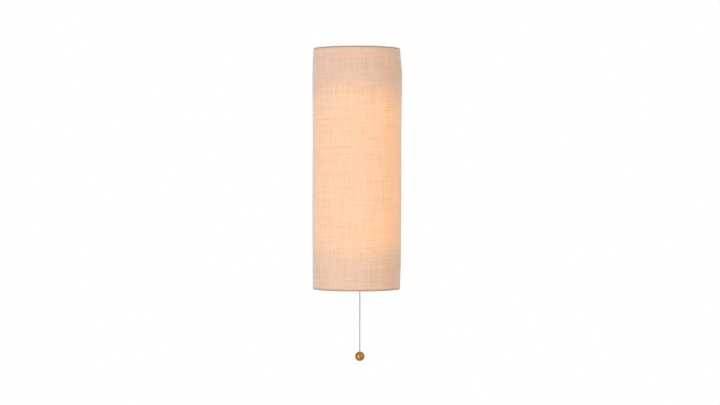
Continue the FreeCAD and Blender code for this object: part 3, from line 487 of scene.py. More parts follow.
SLOT_FINISH = {
    "liner": LINER_WITH_PAINTED_GLOW, "frame_white": FRAME_PAINT, "nut_nickel": NICKEL, "galvanised": ZINC_SHEET,
    "screw_steel": BRIGHT_ZINC, "grommet_rubber": RUBBER, "block_plastic": BLOCK_PLASTIC,
    "tube_zinc": YELLOW_ZINC, "holder_plastic": HOLDER_PLASTIC, "contact_brass": BRIGHT_BRASS,
    "opal": OPAL, "bulb_white": BULB_WHITE, "bulb_nickel": BULB_NICKEL, "switch_black": SWITCH_BLACK,
    "spring_steel": SPRING_STEEL, "pull_brass": PULL_BRASS, "lead_black": LEAD_BLACK,
    "lead_white": LEAD_WHITE, "lead_red": LEAD_RED, "lead_green": LEAD_GREEN,
}


@dataclass(frozen=True)
class LinenFinish:
    """Natural linen with lamps behind it: the weave, its slubs, and the glow that comes through.

    The glow is painted light: an emission colour laid on the cloth by place, which stands in for lamp
    light through the linen. It is stronger and more orange on the right, hottest in front of each lamp,
    dimmer towards both ends, more through the weave's gaps and less through its slubs, weak at the back
    folds and gone at the hems. Streaks are bumps per metre across and up the cloth. A fade gives the two
    places, in metres, between which the glow changes. Shares are parts of the glow in front of the lamps:
    the ends' from low to high, and the flanks' from left to right.
    """

    name: str = "Natural linen"
    pitch: float = 0.55 * MM
    cloth: Colour = (0.674, 0.472, 0.386)
    slub_cloth: Colour = (0.58, 0.39, 0.29)
    # a darker brown given to the cloth along the rolled hems
    hem_cloth: Colour = (0.44, 0.30, 0.21)
    upright_streaks: Point = (260.0, 14.0, 1.0)
    level_streaks: Point = (12.0, 240.0, 1.0)
    streak_detail: float = 3.0
    unevenness: float = 0.22
    bump: float = 0.5
    bump_height: float = 0.12 * MM
    roughness: float = 0.92
    specular: float = 0.25
    sheen: float = 1.0
    sheen_roughness: float = 0.35
    # painted glow: emission colours that stand in for lamp light through the cloth, more orange on the right
    glow: Colour = (0.212, 0.100, 0.0)
    glow_right: Colour = (0.345, 0.130, 0.0)
    right_fade: Span = (-0.01, 0.07)
    through_gaps: float = 0.18
    through_slubs: float = -0.2
    glow_middle: float = -7 * MM
    arch_bend: float = 3.0
    arch_fade: Span = (0.105, 0.178)
    height_fade: Span = (-0.1, 0.1)
    end_shares: Span = (0.27, 0.2)
    across_fade: Span = (-0.05, 0.05)
    flank_shares: Span = (0.75, 0.85)
    flank_fade: Span = (-0.065, -0.03)
    lamp_height: float = 95 * MM
    lamp_area: float = 0.0035
    lamp_share: float = 0.05
    hem_height: float = 199.0 * MM
    back_fold: float = -5.5 * MM
    fold_width: float = 6 * MM
    fold_share: float = 0.12

    def glow_share(self, graph: Graph, place: bpy.types.NodeSocket) -> bpy.types.NodeSocket:
        """Lay the nodes for how much painted lamp glow each place gets.

        Args:
            graph: the material's graph.
            place: object coordinates.

        Returns:
            A socket, about 1 in front of the lamps and near 0 at the hems and the back folds.
        """
        across, back, up = graph.split(place)
        height = graph.math("ABSOLUTE", up)
        aside = graph.math("MULTIPLY", across, across)
        from_middle = graph.math("ABSOLUTE", graph.math("SUBTRACT", up, self.glow_middle))
        arch = graph.math("MULTIPLY_ADD", aside, self.arch_bend, from_middle)
        at_end = graph.ramp(up, *self.height_fade, *self.end_shares)
        on_flank = graph.ramp(across, *self.across_fade, *self.flank_shares)
        band = graph.ramp(arch, *self.arch_fade, 1.0, at_end)
        side = graph.ramp(back, *self.flank_fade, 1.0, on_flank)
        lamp_rise = graph.math("SUBTRACT", height, self.lamp_height)
        lamp_far = graph.math("ADD", graph.math("MULTIPLY", lamp_rise, lamp_rise), aside)
        # painted hot spot in front of each lamp
        hot = graph.ramp(lamp_far, 0.0, self.lamp_area, self.lamp_share, 0.0)
        share = graph.math("ADD", graph.math("MULTIPLY", band, side), hot)
        at_hems = graph.ramp(height, self.hem_height, self.hem_height + MM, 1.0, 0.0)
        at_back = graph.ramp(back, self.back_fold - self.fold_width, self.back_fold, 1.0, self.fold_share)
        return graph.math("MULTIPLY", share, graph.math("MULTIPLY", at_hems, at_back))

    def make(self) -> bpy.types.Material:
        """Build the linen.

        Returns:
            The material.
        """
        material, graph, shader, place = new_material(self.name)
        cloth_place = graph.node("ShaderNodeUVMap", uv_map="Cloth").outputs["UV"]
        weave = graph.node("ShaderNodeGroup", {"Cloth": cloth_place, "Pitch": self.pitch},
                           node_tree=PlainWeave().group()).outputs
        upright = graph.noise(cloth_place, self.upright_streaks, self.streak_detail)
        level = graph.noise(cloth_place, self.level_streaks, self.streak_detail)
        uneven = graph.math("SUBTRACT", graph.math("ADD", upright, level), 1.0)
        across, _, up = graph.split(place)
        hem = graph.ramp(graph.math("ABSOLUTE", up), self.hem_height, self.hem_height + MM)
        cloth = graph.mix(weave["Slub"], self.cloth, self.slub_cloth)
        # darker brown along the rolled hems
        cloth = graph.mix(hem, cloth, self.hem_cloth)
        toned = graph.math("MULTIPLY_ADD", uneven, self.unevenness, 1.0)
        # painted glow passes more through the weave's gaps and less through its slubs
        passing = graph.math("MULTIPLY_ADD", weave["Slub"], self.through_slubs, toned)
        passing = graph.math("MULTIPLY_ADD", weave["Gap"], self.through_gaps, passing)
        # painted glow, stronger and more orange on the right side
        glow = graph.mix(graph.ramp(across, *self.right_fade), self.glow, self.glow_right)
        graph.fill(shader, {
            "Base Color": graph.times(cloth, toned),
            "Emission Color": graph.times(
                glow, graph.math("MULTIPLY", self.glow_share(graph, place), passing)),
            "Emission Strength": 1.0,
            "Normal": graph.bump(weave["Height"], self.bump, self.bump_height),
            "Roughness": self.roughness, "Specular IOR Level": self.specular,
            "Sheen Weight": self.sheen, "Sheen Roughness": self.sheen_roughness,
        })
        return material


@dataclass(frozen=True)
class CottonFinish:
    """Twisted cotton: fine fibres that run with the strands, and grey handling marks."""

    name: str = "Twisted cotton"
    cotton: Colour = (0.53, 0.49, 0.385)
    groove: Colour = (0.31, 0.24, 0.18)
    fibres: Point = (5200.0, 5200.0, 700.0)
    fibre_detail: float = 3.0
    fibre_fade: Span = (0.35, 0.65)
    blotches: Point = (60.0, 60.0, 60.0)
    blotch_fade: Span = (0.4, 0.7)
    marks: float = 0.25
    bump: float = 0.5
    bump_height: float = 0.1 * MM
    roughness: float = 0.9
    sheen: float = 0.2

    def make(self) -> bpy.types.Material:
        """Build the cotton.

        Returns:
            The material.
        """
        material, graph, shader, place = new_material(self.name)
        fibre = graph.noise(place, self.fibres, self.fibre_detail)
        soil = graph.ramp(graph.noise(place, self.blotches), *self.blotch_fade)
        colour = graph.mix(graph.ramp(fibre, *self.fibre_fade), self.groove, self.cotton)
        colour = graph.mix(graph.math("MULTIPLY", soil, self.marks), colour, self.groove)
        graph.fill(shader, {
            "Base Color": colour, "Normal": graph.bump(fibre, self.bump, self.bump_height),
            "Roughness": self.roughness, "Sheen Weight": self.sheen,
        })
        return material


# --- Modelling steps that the pieces share -----------------------------------------------------


class Bench:
    """Blender's own modelling operators, wrapped so that each acts on one piece only."""

    @staticmethod
    def clear() -> None:
        """Leave edit mode and deselect everything."""
        if bpy.context.object and bpy.context.object.mode != "OBJECT":
            bpy.ops.object.mode_set(mode="OBJECT")
        bpy.ops.object.select_all(action="DESELECT")

    @staticmethod
    def hold(piece: bpy.types.Object) -> None:
        """Select one piece alone and make it the active one.

        Args:
            piece: the piece.
        """
        Bench.clear()
        piece.select_set(True)
        bpy.context.view_layer.objects.active = piece

    @staticmethod
    def edit(piece: bpy.types.Object) -> None:
        """Select one piece and open its mesh."""
        Bench.hold(piece)
        bpy.ops.object.mode_set(mode="EDIT")

    @staticmethod
    def whole() -> None:
        """Select all of the open mesh."""
        bpy.ops.mesh.select_all(action="SELECT")

    @staticmethod
    def push(step: Sequence[float]) -> None:
        """Extrude what is selected in the open mesh."""
        bpy.ops.mesh.extrude_region_move(TRANSFORM_OT_translate={"value": step})

    @staticmethod
    def cut_level(height: float) -> None:
        """Cut new edges across the open mesh at a height."""
        Bench.whole()
        bpy.ops.mesh.bisect(plane_co=(0.0, 0.0, height), plane_no=UPWARDS)

    @staticmethod
    def start(place: Sequence[float]) -> bpy.types.Object:
        """Begin a piece as a single selected vertex, with its mesh open.

        Args:
            place: where the vertex is.

        Returns:
            The piece.
        """
        Bench.clear()
        bpy.ops.mesh.primitive_plane_add(size=MM, location=place)
        piece = bpy.context.object
        bpy.ops.object.transform_apply(location=True, rotation=True, scale=True)
        Bench.edit(piece)
        bpy.ops.mesh.select_mode(type="VERT")
        Bench.whole()
        bpy.ops.mesh.merge(type="CENTER")
        return piece

    @staticmethod
    def draw(corners: Sequence[Sequence[float]]) -> None:
        """Draw a line in the open mesh, on from its selected vertex.

        Args:
            corners: the line's corners; the first is where that vertex is.
        """
        for before, after in zip(corners, corners[1:]):
            Bench.push(Vector(after) - Vector(before))

    @staticmethod
    def close() -> None:
        """Merge what lies on itself in the open mesh, and point its faces outwards."""
        Bench.whole()
        bpy.ops.mesh.remove_doubles(threshold=NEAR)
        bpy.ops.mesh.normals_make_consistent(inside=False)

    @staticmethod
    def trim(piece: bpy.types.Object, foot: Vector, top: Vector) -> None:
        """Cut a helical piece off square at both ends, and close the cuts.

        Args:
            piece: the piece.
            foot: a place in the lower cut.
            top: a place in the upper cut, straight along the axis from the foot.
        """
        along = (top - foot).normalized()
        Bench.edit(piece)
        Bench.close()
        for place, is_foot in ((foot, True), (top, False)):
            Bench.whole()
            bpy.ops.mesh.bisect(plane_co=place, plane_no=along, use_fill=True, threshold=NEAR,
                                clear_inner=is_foot, clear_outer=not is_foot)
        Bench.close()
        Bench.clear()

    @staticmethod
    def pick(piece: bpy.types.Object, keep: Callable[[Vector], bool]) -> None:
        """Select the vertices of the open mesh that pass a test, with the edges and faces between them.

        Args:
            piece: the piece whose mesh is open.
            keep: says whether a vertex at that place is wanted.
        """
        bpy.ops.mesh.select_mode(type="VERT")
        bpy.ops.mesh.select_all(action="DESELECT")
        mesh = bmesh.from_edit_mesh(piece.data)
        for vertex in mesh.verts:
            if keep(vertex.co):
                vertex.select = True
        mesh.select_flush(True)
        bmesh.update_edit_mesh(piece.data)

    @staticmethod
    def done(piece: bpy.types.Object, name: str) -> bpy.types.Object:
        """Close the mesh, put the place into it and name the piece.

        Args:
            piece: the piece.
            name: its new name.

        Returns:
            The same piece.
        """
        Bench.hold(piece)
        bpy.ops.object.transform_apply(location=True, rotation=True, scale=True)
        piece.name = name
        piece.data.name = name
        piece.select_set(False)
        return piece

    @staticmethod
    def apply(piece: bpy.types.Object, kind: str, **settings: object) -> None:
        """Add one modifier with its settings and apply it.

        Args:
            piece: the piece.
            kind: the modifier's type.
            **settings: the modifier's properties.
        """
        Bench.hold(piece)
        modifier = piece.modifiers.new(kind.title(), kind)
        for key, value in settings.items():
            setattr(modifier, key, value)
        bpy.ops.object.modifier_apply(modifier=modifier.name)

    @staticmethod
    def carve(piece: bpy.types.Object, cutter: bpy.types.Object, operation: str = "DIFFERENCE") -> None:
        """Cut a piece with another one, which is used up.

        Args:
            piece: the piece.
            cutter: the other piece.
            operation: the Boolean modifier's operation.
        """
        Bench.apply(piece, "BOOLEAN", object=cutter, operation=operation, solver="EXACT")
        bpy.data.meshes.remove(cutter.data)

    @staticmethod
    def join(pieces: Sequence[bpy.types.Object], name: str) -> bpy.types.Object:
        """Join several meshes into one piece.

        Args:
            pieces: what is joined.
            name: the new piece's name.

        Returns:
            The joined piece.
        """
        Bench.clear()
        for piece in pieces:
            piece.select_set(True)
        bpy.context.view_layer.objects.active = pieces[0]
        bpy.ops.object.join()
        return Bench.done(pieces[0], name)

    @staticmethod
    def block(name: str, place: Sequence[float], sizes: Sequence[float],
              turn: float = 0.0) -> bpy.types.Object:
        """Make a plain block.

        Args:
            name: the new piece's name.
            place: its middle.
            sizes: how long it is along each axis.
            turn: how far it is turned, in radians, about the line from the wall to the room.

        Returns:
            The block.
        """
        Bench.clear()
        bpy.ops.mesh.primitive_cube_add(size=1.0, location=place)
        block = bpy.context.object
        block.scale = sizes
        block.rotation_euler = (0.0, turn, 0.0)
        return Bench.done(block, name)

    @staticmethod
    def smooth(piece: bpy.types.Object, degrees: float) -> None:
        """Shade a piece smooth, but keep the edges sharper than an angle."""
        Bench.hold(piece)
        bpy.ops.object.shade_smooth_by_angle(angle=math.radians(degrees))


def dress(piece: bpy.types.Object, material: bpy.types.Material) -> None:
    """Give a piece one material, in place of any that it has."""
    piece.data.materials.clear()
    piece.data.materials.append(material)


def stand_in(piece: bpy.types.Object, degrees: float, look: bpy.types.Material, body: str, slot: str,
             *nodes: str) -> None:
    """Shade and dress a modelled piece, and let it stand for CAD nodes and move with their body.

    Args:
        piece: the modelled piece.
        degrees: the angle past which its edges are kept sharp.
        look: its material.
        body: the CAD body it rides on.
        slot: the record's material slot; not used.
        *nodes: the CAD nodes it stands for.
    """
    Bench.smooth(piece, degrees)
    dress(piece, look)
    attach(piece, body)
    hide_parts(*nodes)
    LOG.info("%s stands for %s", piece.name, ", ".join(nodes))


def put_in_scene(name: str, data: bpy.types.ID) -> bpy.types.Object:
    """Put new data into the scene as an object.

    Args:
        name: the object's name.
        data: its mesh, curve, camera or light.

    Returns:
        The object.
    """
    made = bpy.data.objects.new(name, data)
    bpy.context.scene.collection.objects.link(made)
    return made


def new_curve(name: str, dimensions: str, kind: str,
              points: int) -> tuple[bpy.types.Object, bpy.types.Spline]:
    """Add a curve with one spline.

    Args:
        name: the curve's name.
        dimensions: 2D or 3D.
        kind: the spline's type.
        points: how many points it has.

    Returns:
        The curve's object and its spline.
    """
    curve = bpy.data.curves.new(name, "CURVE")
    curve.dimensions = dimensions
    spline = curve.splines.new(kind)
    spline.points.add(points - 1)
    return put_in_scene(name, curve), spline


@dataclass(frozen=True)
class Spindle:
    """The axis that a piece is turned, knurled and threaded about."""

    place: Point
    along: Point = UPWARDS
    steps: int = 48

    def point(self, radius: float, height: float) -> Vector:
        """A place beside the axis, on its +X side.

        Args:
            radius: how far from the axis.
            height: how far along it.

        Returns:
            The place.
        """
        return Vector(self.place) + height * Vector(self.along) + radius * Vector((1.0, 0.0, 0.0))

    def turned(self, name: str, outline: Sequence[tuple[float, float]], steps: int = 0) -> bpy.types.Object:
        """Turn a solid from its outline.

        Args:
            name: the new piece's name.
            outline: radius and height of each corner.
            steps: how many sides it gets, where they aren't the spindle's own.

        Returns:
            The solid.
        """
        corners = [self.point(*corner) for corner in outline]
        piece = Bench.start(corners[0])
        Bench.draw(corners)
        Bench.whole()
        bpy.ops.mesh.spin(steps=steps or self.steps, angle=2 * math.pi, center=self.place, axis=self.along)
        Bench.close()
        return Bench.done(piece, name)

    def rod(self, name: str, radius: float, ends: Span, steps: int = 0) -> bpy.types.Object:
        """Turn a plain rod.

        Args:
            name: the new piece's name.
            radius: its radius.
            ends: where it starts and ends along the axis.
            steps: how many sides it gets, where they aren't the spindle's own.

        Returns:
            The rod.
        """
        low, high = ends
        return self.turned(name, [(0.0, low), (radius, low), (radius, high), (0.0, high)], steps)

    def drill(self, piece: bpy.types.Object, radius: float, ends: Span) -> None:
        """Bore a hole along the axis.

        Args:
            piece: the piece that is bored.
            radius: the hole's radius.
            ends: where the hole starts and ends along the axis.
        """
        Bench.carve(piece, self.rod("drill", radius, ends))

    def knurl(self, piece: bpy.types.Object, low: float, high: float, radius: float, depth: float) -> None:
        """Press every other column of a band inwards, which leaves straight teeth.

        Args:
            piece: a piece turned on this spindle.
            low: where the band starts along the axis.
            high: where it ends.
            radius: the band's radius.
            depth: how deep the grooves are.
        """
        along, side = Vector(self.along), Vector((1.0, 0.0, 0.0))
        column_width = 2 * math.pi / self.steps

        def in_groove(co: Vector) -> bool:
            """Tell whether a vertex is on the band, in an odd column.

            Args:
                co: where the vertex is.

            Returns:
                True where it is.
            """
            height = (co - Vector(self.place)).dot(along)
            out = co - Vector(self.place) - height * along
            column = round(math.atan2(out.dot(along.cross(side)), out.dot(side)) / column_width)
            return low <= height <= high and abs(out.length - radius) < SLACK and column % 2 == 1

        shrink = 1.0 - depth / radius
        Bench.edit(piece)
        Bench.pick(piece, in_groove)
        bpy.ops.transform.resize(value=[1.0 if abs(part) > 0.5 else shrink for part in self.along],
                                 center_override=self.place)
        Bench.clear()

    def threaded(self, name: str, root: float, crest: float, pitch: float, ends: Span,
                 flat: float = 0.15) -> bpy.types.Object:
        """Cut a screw thread: one tooth's outline carried up its helix, and trimmed at both ends.

        Args:
            name: the new piece's name.
            root: the thread's inner radius.
            crest: its outer radius.
            pitch: the rise of one turn.
            ends: where the thread starts and ends along the axis.
            flat: how much of the pitch its crest is.

        Returns:
            The threaded rod, closed at both ends.
        """
        low, high = ends
        spare_turns = 3
        flank = (1.0 - 2 * flat) / 2 * pitch
        tooth = [(root, 0.0, 0.0), (crest, 0.0, flank), (crest, 0.0, flank + flat * pitch),
                 (root, 0.0, pitch - flat * pitch), (root, 0.0, pitch)]
        piece = Bench.start(tooth[0])
        Bench.draw(tooth)
        Bench.apply(piece, "SCREW", axis="Z", angle=2 * math.pi, screw_offset=pitch, steps=self.steps // 2,
                    render_steps=self.steps // 2, iterations=math.ceil((high - low) / pitch) + spare_turns)
        along = Vector(self.along)
        piece.rotation_euler = Vector(UPWARDS).rotation_difference(along).to_euler()
        piece.location = Vector(self.place) + along * (low - spare_turns / 2 * pitch)
        Bench.done(piece, name)
        Bench.trim(piece, self.point(0.0, low), self.point(0.0, high))
        return piece

    def hexagon_nut(self, name: str, ends: Span, flats: float,
                    bore: float) -> bpy.types.Object:
        """Make a hexagon nut with its corners turned down at both faces.

        Args:
            name: the new piece's name.
            ends: where its two faces are along the axis.
            flats: its size across flats.
            bore: the radius of its hole.

        Returns:
            The nut.
        """
        low, high = ends
        corner, face, turn_down = flats / math.sqrt(3), 0.48 * flats, 0.07 * flats
        nut = self.rod(name, corner, ends, steps=6)
        blank = self.turned("nut_blank", [
            (bore, low), (face, low), (corner + turn_down, low + turn_down),
            (corner + turn_down, high - turn_down), (face, high), (bore, high), (bore, low)])
        Bench.carve(nut, blank, "INTERSECT")
        return nut


# --- The shade ---------------------------------------------------------------------------------


@dataclass(frozen=True)
class HandPull:
    """One small fault of hand work: a move that fades with the distance from its handle."""

    handle: Point
    move: Point
    reach: float


HAND_PULLS = (
    HandPull(mm(74.8, -25.0, 150.0), mm(1.3, -0.3, 0.0), 90 * MM),
    HandPull(mm(-74.8, -25.0, 60.0), mm(0.5, 0.0, 0.0), 120 * MM),
    HandPull(mm(74.8, -25.0, -195.0), mm(-0.9, 0.0, 0.0), 160 * MM),
    HandPull(mm(-74.8, -25.0, -190.0), mm(0.5, 0.0, 0.0), 120 * MM),
    HandPull(mm(74.8, -25.0, 202.0), mm(-2.6, 0.0, 0.0), 45 * MM),
    HandPull(mm(-74.8, -25.0, 202.0), mm(1.5, 0.0, 1.1), 45 * MM),
    HandPull(mm(74.8, -25.0, -202.0), mm(-1.3, 0.0, -0.8), 45 * MM),
    HandPull(mm(-74.8, -25.0, -202.0), mm(0.0, 0.0, -0.6), 45 * MM),
)


def pull_by_hand(piece: bpy.types.Object) -> None:
    """Give a piece of the shade the faults of its hand work, the same for every piece that has them.

    Args:
        piece: the piece.
    """
    Bench.edit(piece)
    bpy.ops.mesh.select_mode(type="VERT")
    for pull in HAND_PULLS:
        bpy.ops.mesh.select_all(action="DESELECT")
        mesh = bmesh.from_edit_mesh(piece.data)
        mesh.verts.new(pull.handle).select = True
        bmesh.update_edit_mesh(piece.data)
        bpy.ops.transform.translate(value=pull.move, use_proportional_edit=True,
                                    proportional_edit_falloff="SMOOTH", proportional_size=pull.reach)
        bpy.ops.mesh.delete(type="VERT")
    Bench.clear()


@dataclass
class BowSheet:
    """A sheet bent along the shade's plan: straight beside the wall and half round in front."""

    radius: float
    back_edge: float
    half_height: float
    bow_back: float = -25.0 * MM
    rows: int = 104
    bow_steps: int = 96
    flank_steps: int = 6

    def upright_line(self) -> bpy.types.Object:
        """Start with one upright line at the left back edge, cut into its rows.

        Returns:
            The piece, with its mesh open.
        """
        ends = [(-self.radius, self.back_edge, side * self.half_height) for side in SIDES]
        sheet = Bench.start(ends[0])
        Bench.draw(ends)
        Bench.whole()
        bpy.ops.mesh.subdivide(number_cuts=self.rows - 1)
        return sheet

    def sweep_round_bow(self) -> None:
        """Carry the open mesh forwards, round the bow and back to the wall."""
        step = (self.bow_back - self.back_edge) / self.flank_steps
        Bench.whole()
        for _ in range(self.flank_steps):
            Bench.push((0.0, step, 0.0))
        bpy.ops.mesh.spin(steps=self.bow_steps, angle=-math.pi, center=(0.0, self.bow_back, 0.0),
                          axis=UPWARDS)
        for _ in range(self.flank_steps):
            Bench.push((0.0, -step, 0.0))

    def face_outwards(self, sheet: bpy.types.Object) -> None:
        """Point every face of the open sheet away from the lamps.

        Args:
            sheet: the piece, with its mesh open.
        """
        Bench.whole()
        bpy.ops.mesh.remove_doubles(threshold=SLACK)
        bpy.ops.mesh.normals_make_consistent(inside=False)
        mesh = bmesh.from_edit_mesh(sheet.data)
        front = min(mesh.faces, key=lambda face: face.calc_center_median().y)
        if front.normal.y > 0:
            bpy.ops.mesh.flip_normals()


@dataclass
class LinenShade(BowSheet):
    """The linen: one sheet round the bow, rolled over the frame along all four of its edges."""

    radius: float = 74.8 * MM
    back_edge: float = -5.5 * MM
    half_height: float = 200.0 * MM
    roll: float = 2.3 * MM
    cloth_thickness: float = 0.5 * MM
    slit_half: float = 6.4 * MM
    slit_reach: float = 0.5 * MM
    hem_turn: float = math.radians(300.0)
    hem_steps: int = 20
    edge_steps: int = 12
    tuck_turn: float = math.radians(115.0)
    tuck_steps: int = 8
    tuck_gap: float = 2.5 * MM
    cut_width: float = 294.0 * MM
    cut_length: float = 424.0 * MM

    def __post_init__(self) -> None:
        """Work out where the rolls along the edges turn."""
        self.roll_centre = self.radius - self.roll

    def build(self) -> None:
        sheet = self.upright_line()
        self.roll_hems(sheet)
        self.sweep_round_bow()
        for side in SIDES:
            self.wrap_back_edge(sheet, side)
        self.face_outwards(sheet)
        pull_by_hand(sheet)
        Bench.done(sheet, "linen_shade")
        Bench.apply(sheet, "SOLIDIFY", thickness=self.cloth_thickness, offset=-1.0, use_even_offset=False)
        self.lay_cloth_map(sheet)
        stand_in(sheet, 60.0, LinenFinish().make(), "shade", "linen", "shade_fabric")

    def roll_hems(self, sheet: bpy.types.Object) -> None:
        """Add the rows that the slits need, and roll both ends of the upright line inwards.

        Args:
            sheet: the piece, with its mesh open.
        """
        for height in BAR_HEIGHTS:
            for edge in (-self.slit_half, self.slit_half):
                Bench.cut_level(height + edge)
        for end in (1.0, -1.0):
            Bench.pick(sheet, lambda co, end=end: end * co.z > self.half_height - SLACK)
            bpy.ops.mesh.spin(steps=self.hem_steps, angle=-end * self.hem_turn, axis=(0.0, 1.0, 0.0),
                              center=(-self.roll_centre, self.back_edge, end * self.half_height))

    def wrap_back_edge(self, sheet: bpy.types.Object, side: float) -> None:
        """Roll one back edge round its upright, and slit the roll where the bars come in.

        Args:
            sheet: the piece, with its mesh open.
            side: -1 for the left edge, 1 for the right one.
        """
        turn = {"axis": UPWARDS, "center": (side * self.roll_centre, self.back_edge, 0.0)}

        def on_end(co: Vector) -> bool:
            """Whether a place is on this edge's outer line, up to the top of each rolled end."""
            return (co.y > self.back_edge - SLACK and side * co.x > self.roll_centre - SLACK
                    and abs(co.z) < self.half_height + self.roll + SLACK)

        def outer_part(co: Vector) -> bool:
            """Whether a place on the edge is outside the rolled ends' inner halves."""
            below = abs(co.z) < self.half_height - SLACK and side * co.x < self.radius - SLACK
            return on_end(co) and not below

        Bench.pick(sheet, outer_part)
        bpy.ops.mesh.spin(steps=self.edge_steps, angle=-side * math.pi, **turn)
        Bench.pick(sheet, lambda co: abs(co.y - self.back_edge) < SLACK
                   and abs(co.z) < self.half_height - self.tuck_gap
                   and abs(side * co.x - self.roll_centre + self.roll) < SLACK)
        bpy.ops.mesh.spin(steps=self.tuck_steps, angle=-side * self.tuck_turn, **turn)
        for height in BAR_HEIGHTS:
            Bench.pick(sheet, lambda co, height=height: abs(co.z - height) < self.slit_half + SLACK
                       and 0.0 < side * co.x < self.roll_centre - self.slit_reach and co.y > self.bow_back)
            bpy.ops.mesh.delete(type="FACE")

    def lay_cloth_map(self, sheet: bpy.types.Object) -> None:
        """Write a UV map in metres: across the cloth along the bow, and up the cloth.

        Args:
            sheet: the finished piece.
        """
        layer = sheet.data.uv_layers.new(name="Cloth")
        for loop in sheet.data.loops:
            co = sheet.data.vertices[loop.vertex_index].co
            ahead = self.bow_back - co.y
            if ahead > 0:
                across = self.radius * math.atan2(co.x, ahead)
            else:
                across = math.copysign(self.radius * math.pi / 2 - ahead, co.x)
            layer.data[loop.index].uv = (across, co.z)


@dataclass
class ShadeLiner(BowSheet):
    """The stiff translucent sheet that the linen is laminated to."""

    radius: float = 74.0 * MM
    back_edge: float = -8.0 * MM
    half_height: float = 197.5 * MM
    thickness: float = 0.5 * MM

    def build(self) -> None:
        """Model the liner and dress it."""
        sheet = self.upright_line()
        self.sweep_round_bow()
        self.face_outwards(sheet)
        pull_by_hand(sheet)
        Bench.done(sheet, "liner_sheet")
        Bench.apply(sheet, "SOLIDIFY", thickness=self.thickness, offset=-1.0)
        # the liner's finish carries a painted glow
        stand_in(sheet, 60.0, LINER_WITH_PAINTED_GLOW.make(), "shade", "liner", "shade_liner")


@dataclass
class ShadeFrame:
    """The wires inside the linen's rolls, and the flat bars that hang them on the tray's studs."""

    wire: float = 1.3 * MM
    wire_sides: int = 16
    wire_line: float = 72.5 * MM
    edge_line: float = -5.5 * MM
    half_height: float = 200.0 * MM
    bow_back: float = -25.0 * MM
    bow_steps: int = 64
    cuts_per_half: int = 20
    bar_width: float = 12.0 * MM
    bar_half: tuple[tuple[float, float], ...] = (
        mm(62.5, -12.0), mm(66.5, -4.75), mm(71.2, -4.75), mm(71.2, -6.25), mm(67.25, -6.25),
        mm(63.25, -13.5))
    bar_edge: float = 0.3 * MM
    stud_hole: float = 2.3 * MM
    weld_radius: float = 0.75 * MM
    weld_drops: int = 13

    def build(self) -> None:
        """Model the wires and the bars."""
        rings = [self.ring(height) for height in (self.half_height, -self.half_height)]
        uprights = [self.upright(side) for side in SIDES]
        wires = Bench.join(rings + uprights, "wire_frame")
        pull_by_hand(wires)
        stand_in(wires, 50.0, FRAME_PAINT.make(), "shade", "frame_white",
                 "ring_top", "ring_bottom", "upright_left", "upright_right")
        for where, height in zip(("upper", "lower"), BAR_HEIGHTS):
            bar = self.bar(f"hanging_bar_{where}", height)
            pull_by_hand(bar)
            stand_in(bar, 40.0, FRAME_PAINT.make(), "shade", "frame_white", f"crossbar_{where}")

    def ring(self, height: float) -> bpy.types.Object:
        """Bend one bow-shaped wire.

        Args:
            height: how high it lies.

        Returns:
            The wire.
        """
        end = self.edge_line + self.wire
        Bench.clear()
        bpy.ops.mesh.primitive_circle_add(vertices=self.wire_sides, radius=self.wire, fill_type="NGON",
                                          location=(-self.wire_line, end, height),
                                          rotation=(math.pi / 2, 0, 0))
        ring = Bench.done(bpy.context.object, "ring")
        Bench.edit(ring)
        Bench.whole()
        flank = Vector((0.0, self.bow_back - end, 0.0))
        Bench.push(flank)
        bpy.ops.mesh.spin(steps=self.bow_steps, angle=-math.pi, center=(0.0, self.bow_back, 0.0),
                          axis=UPWARDS)
        Bench.push(-flank)
        Bench.close()
        return Bench.done(ring, "ring")

    def upright(self, side: float) -> bpy.types.Object:
        """Cut one upright wire, in short lengths so that it can follow the linen.

        Args:
            side: -1 for the left one, 1 for the right one.

        Returns:
            The wire.
        """
        height = self.half_height - self.wire
        spindle = Spindle((side * self.wire_line, self.edge_line, 0.0), steps=self.wire_sides)
        wire = spindle.rod("upright", self.wire, (-height, height))
        Bench.edit(wire)
        for step in range(1, 2 * self.cuts_per_half):
            Bench.cut_level(-height + step * height / self.cuts_per_half)
        return Bench.done(wire, "upright")

    def bar(self, name: str, height: float) -> bpy.types.Object:
        """Bend one flat bar back to the uprights at both ends, pierce it and weld it on.

        Args:
            name: the bar's name.
            height: how high it lies.

        Returns:
            The bar, with its weld beads.
        """
        foot = height - self.bar_width / 2
        outline = list(self.bar_half) + [(-x, y) for x, y in reversed(self.bar_half)]
        corners = [(x, y, foot) for x, y in outline + outline[:1]]
        bar = Bench.start(corners[0])
        Bench.draw(corners)
        Bench.close()
        bpy.ops.mesh.edge_face_add()
        Bench.push((0.0, 0.0, self.bar_width))
        Bench.close()
        Bench.apply(bar, "BEVEL", width=self.bar_edge, segments=2, limit_method="ANGLE")
        rear, front = self.bar_half[0][1], self.bar_half[-1][1]
        Spindle((0.0, rear, height), TO_ROOM, 32).drill(bar, self.stud_hole, (-MM, rear - front + MM))
        faces = (self.bar_half[2][1], self.bar_half[3][1])
        beads = [self.weld(side, face, height) for side in SIDES for face in faces]
        return Bench.join([bar, *beads], name)

    def weld(self, side: float, face: float, height: float) -> bpy.types.Object:
        """Lay one weld bead, rippled as it cooled, between a face of a bar and its upright.

        Args:
            side: -1 for the left end, 1 for the right one.
            face: where the bar's face is.
            height: how high the bar lies.

        Returns:
            The bead.
        """
        reach, drops = self.bar_width / 2 - self.bar_edge, self.weld_drops
        waves = [(self.weld_radius * (1.0 if drop % 2 else 0.8), -reach + (drop + 0.5) * 2 * reach / drops)
                 for drop in range(drops)]
        spindle = Spindle((side * (self.wire_line - self.wire), face, height), steps=12)
        return spindle.turned("weld", [(0.0, -reach), *waves, (0.0, reach)])


# --- Turned and threaded pieces ----------------------------------------------------------------


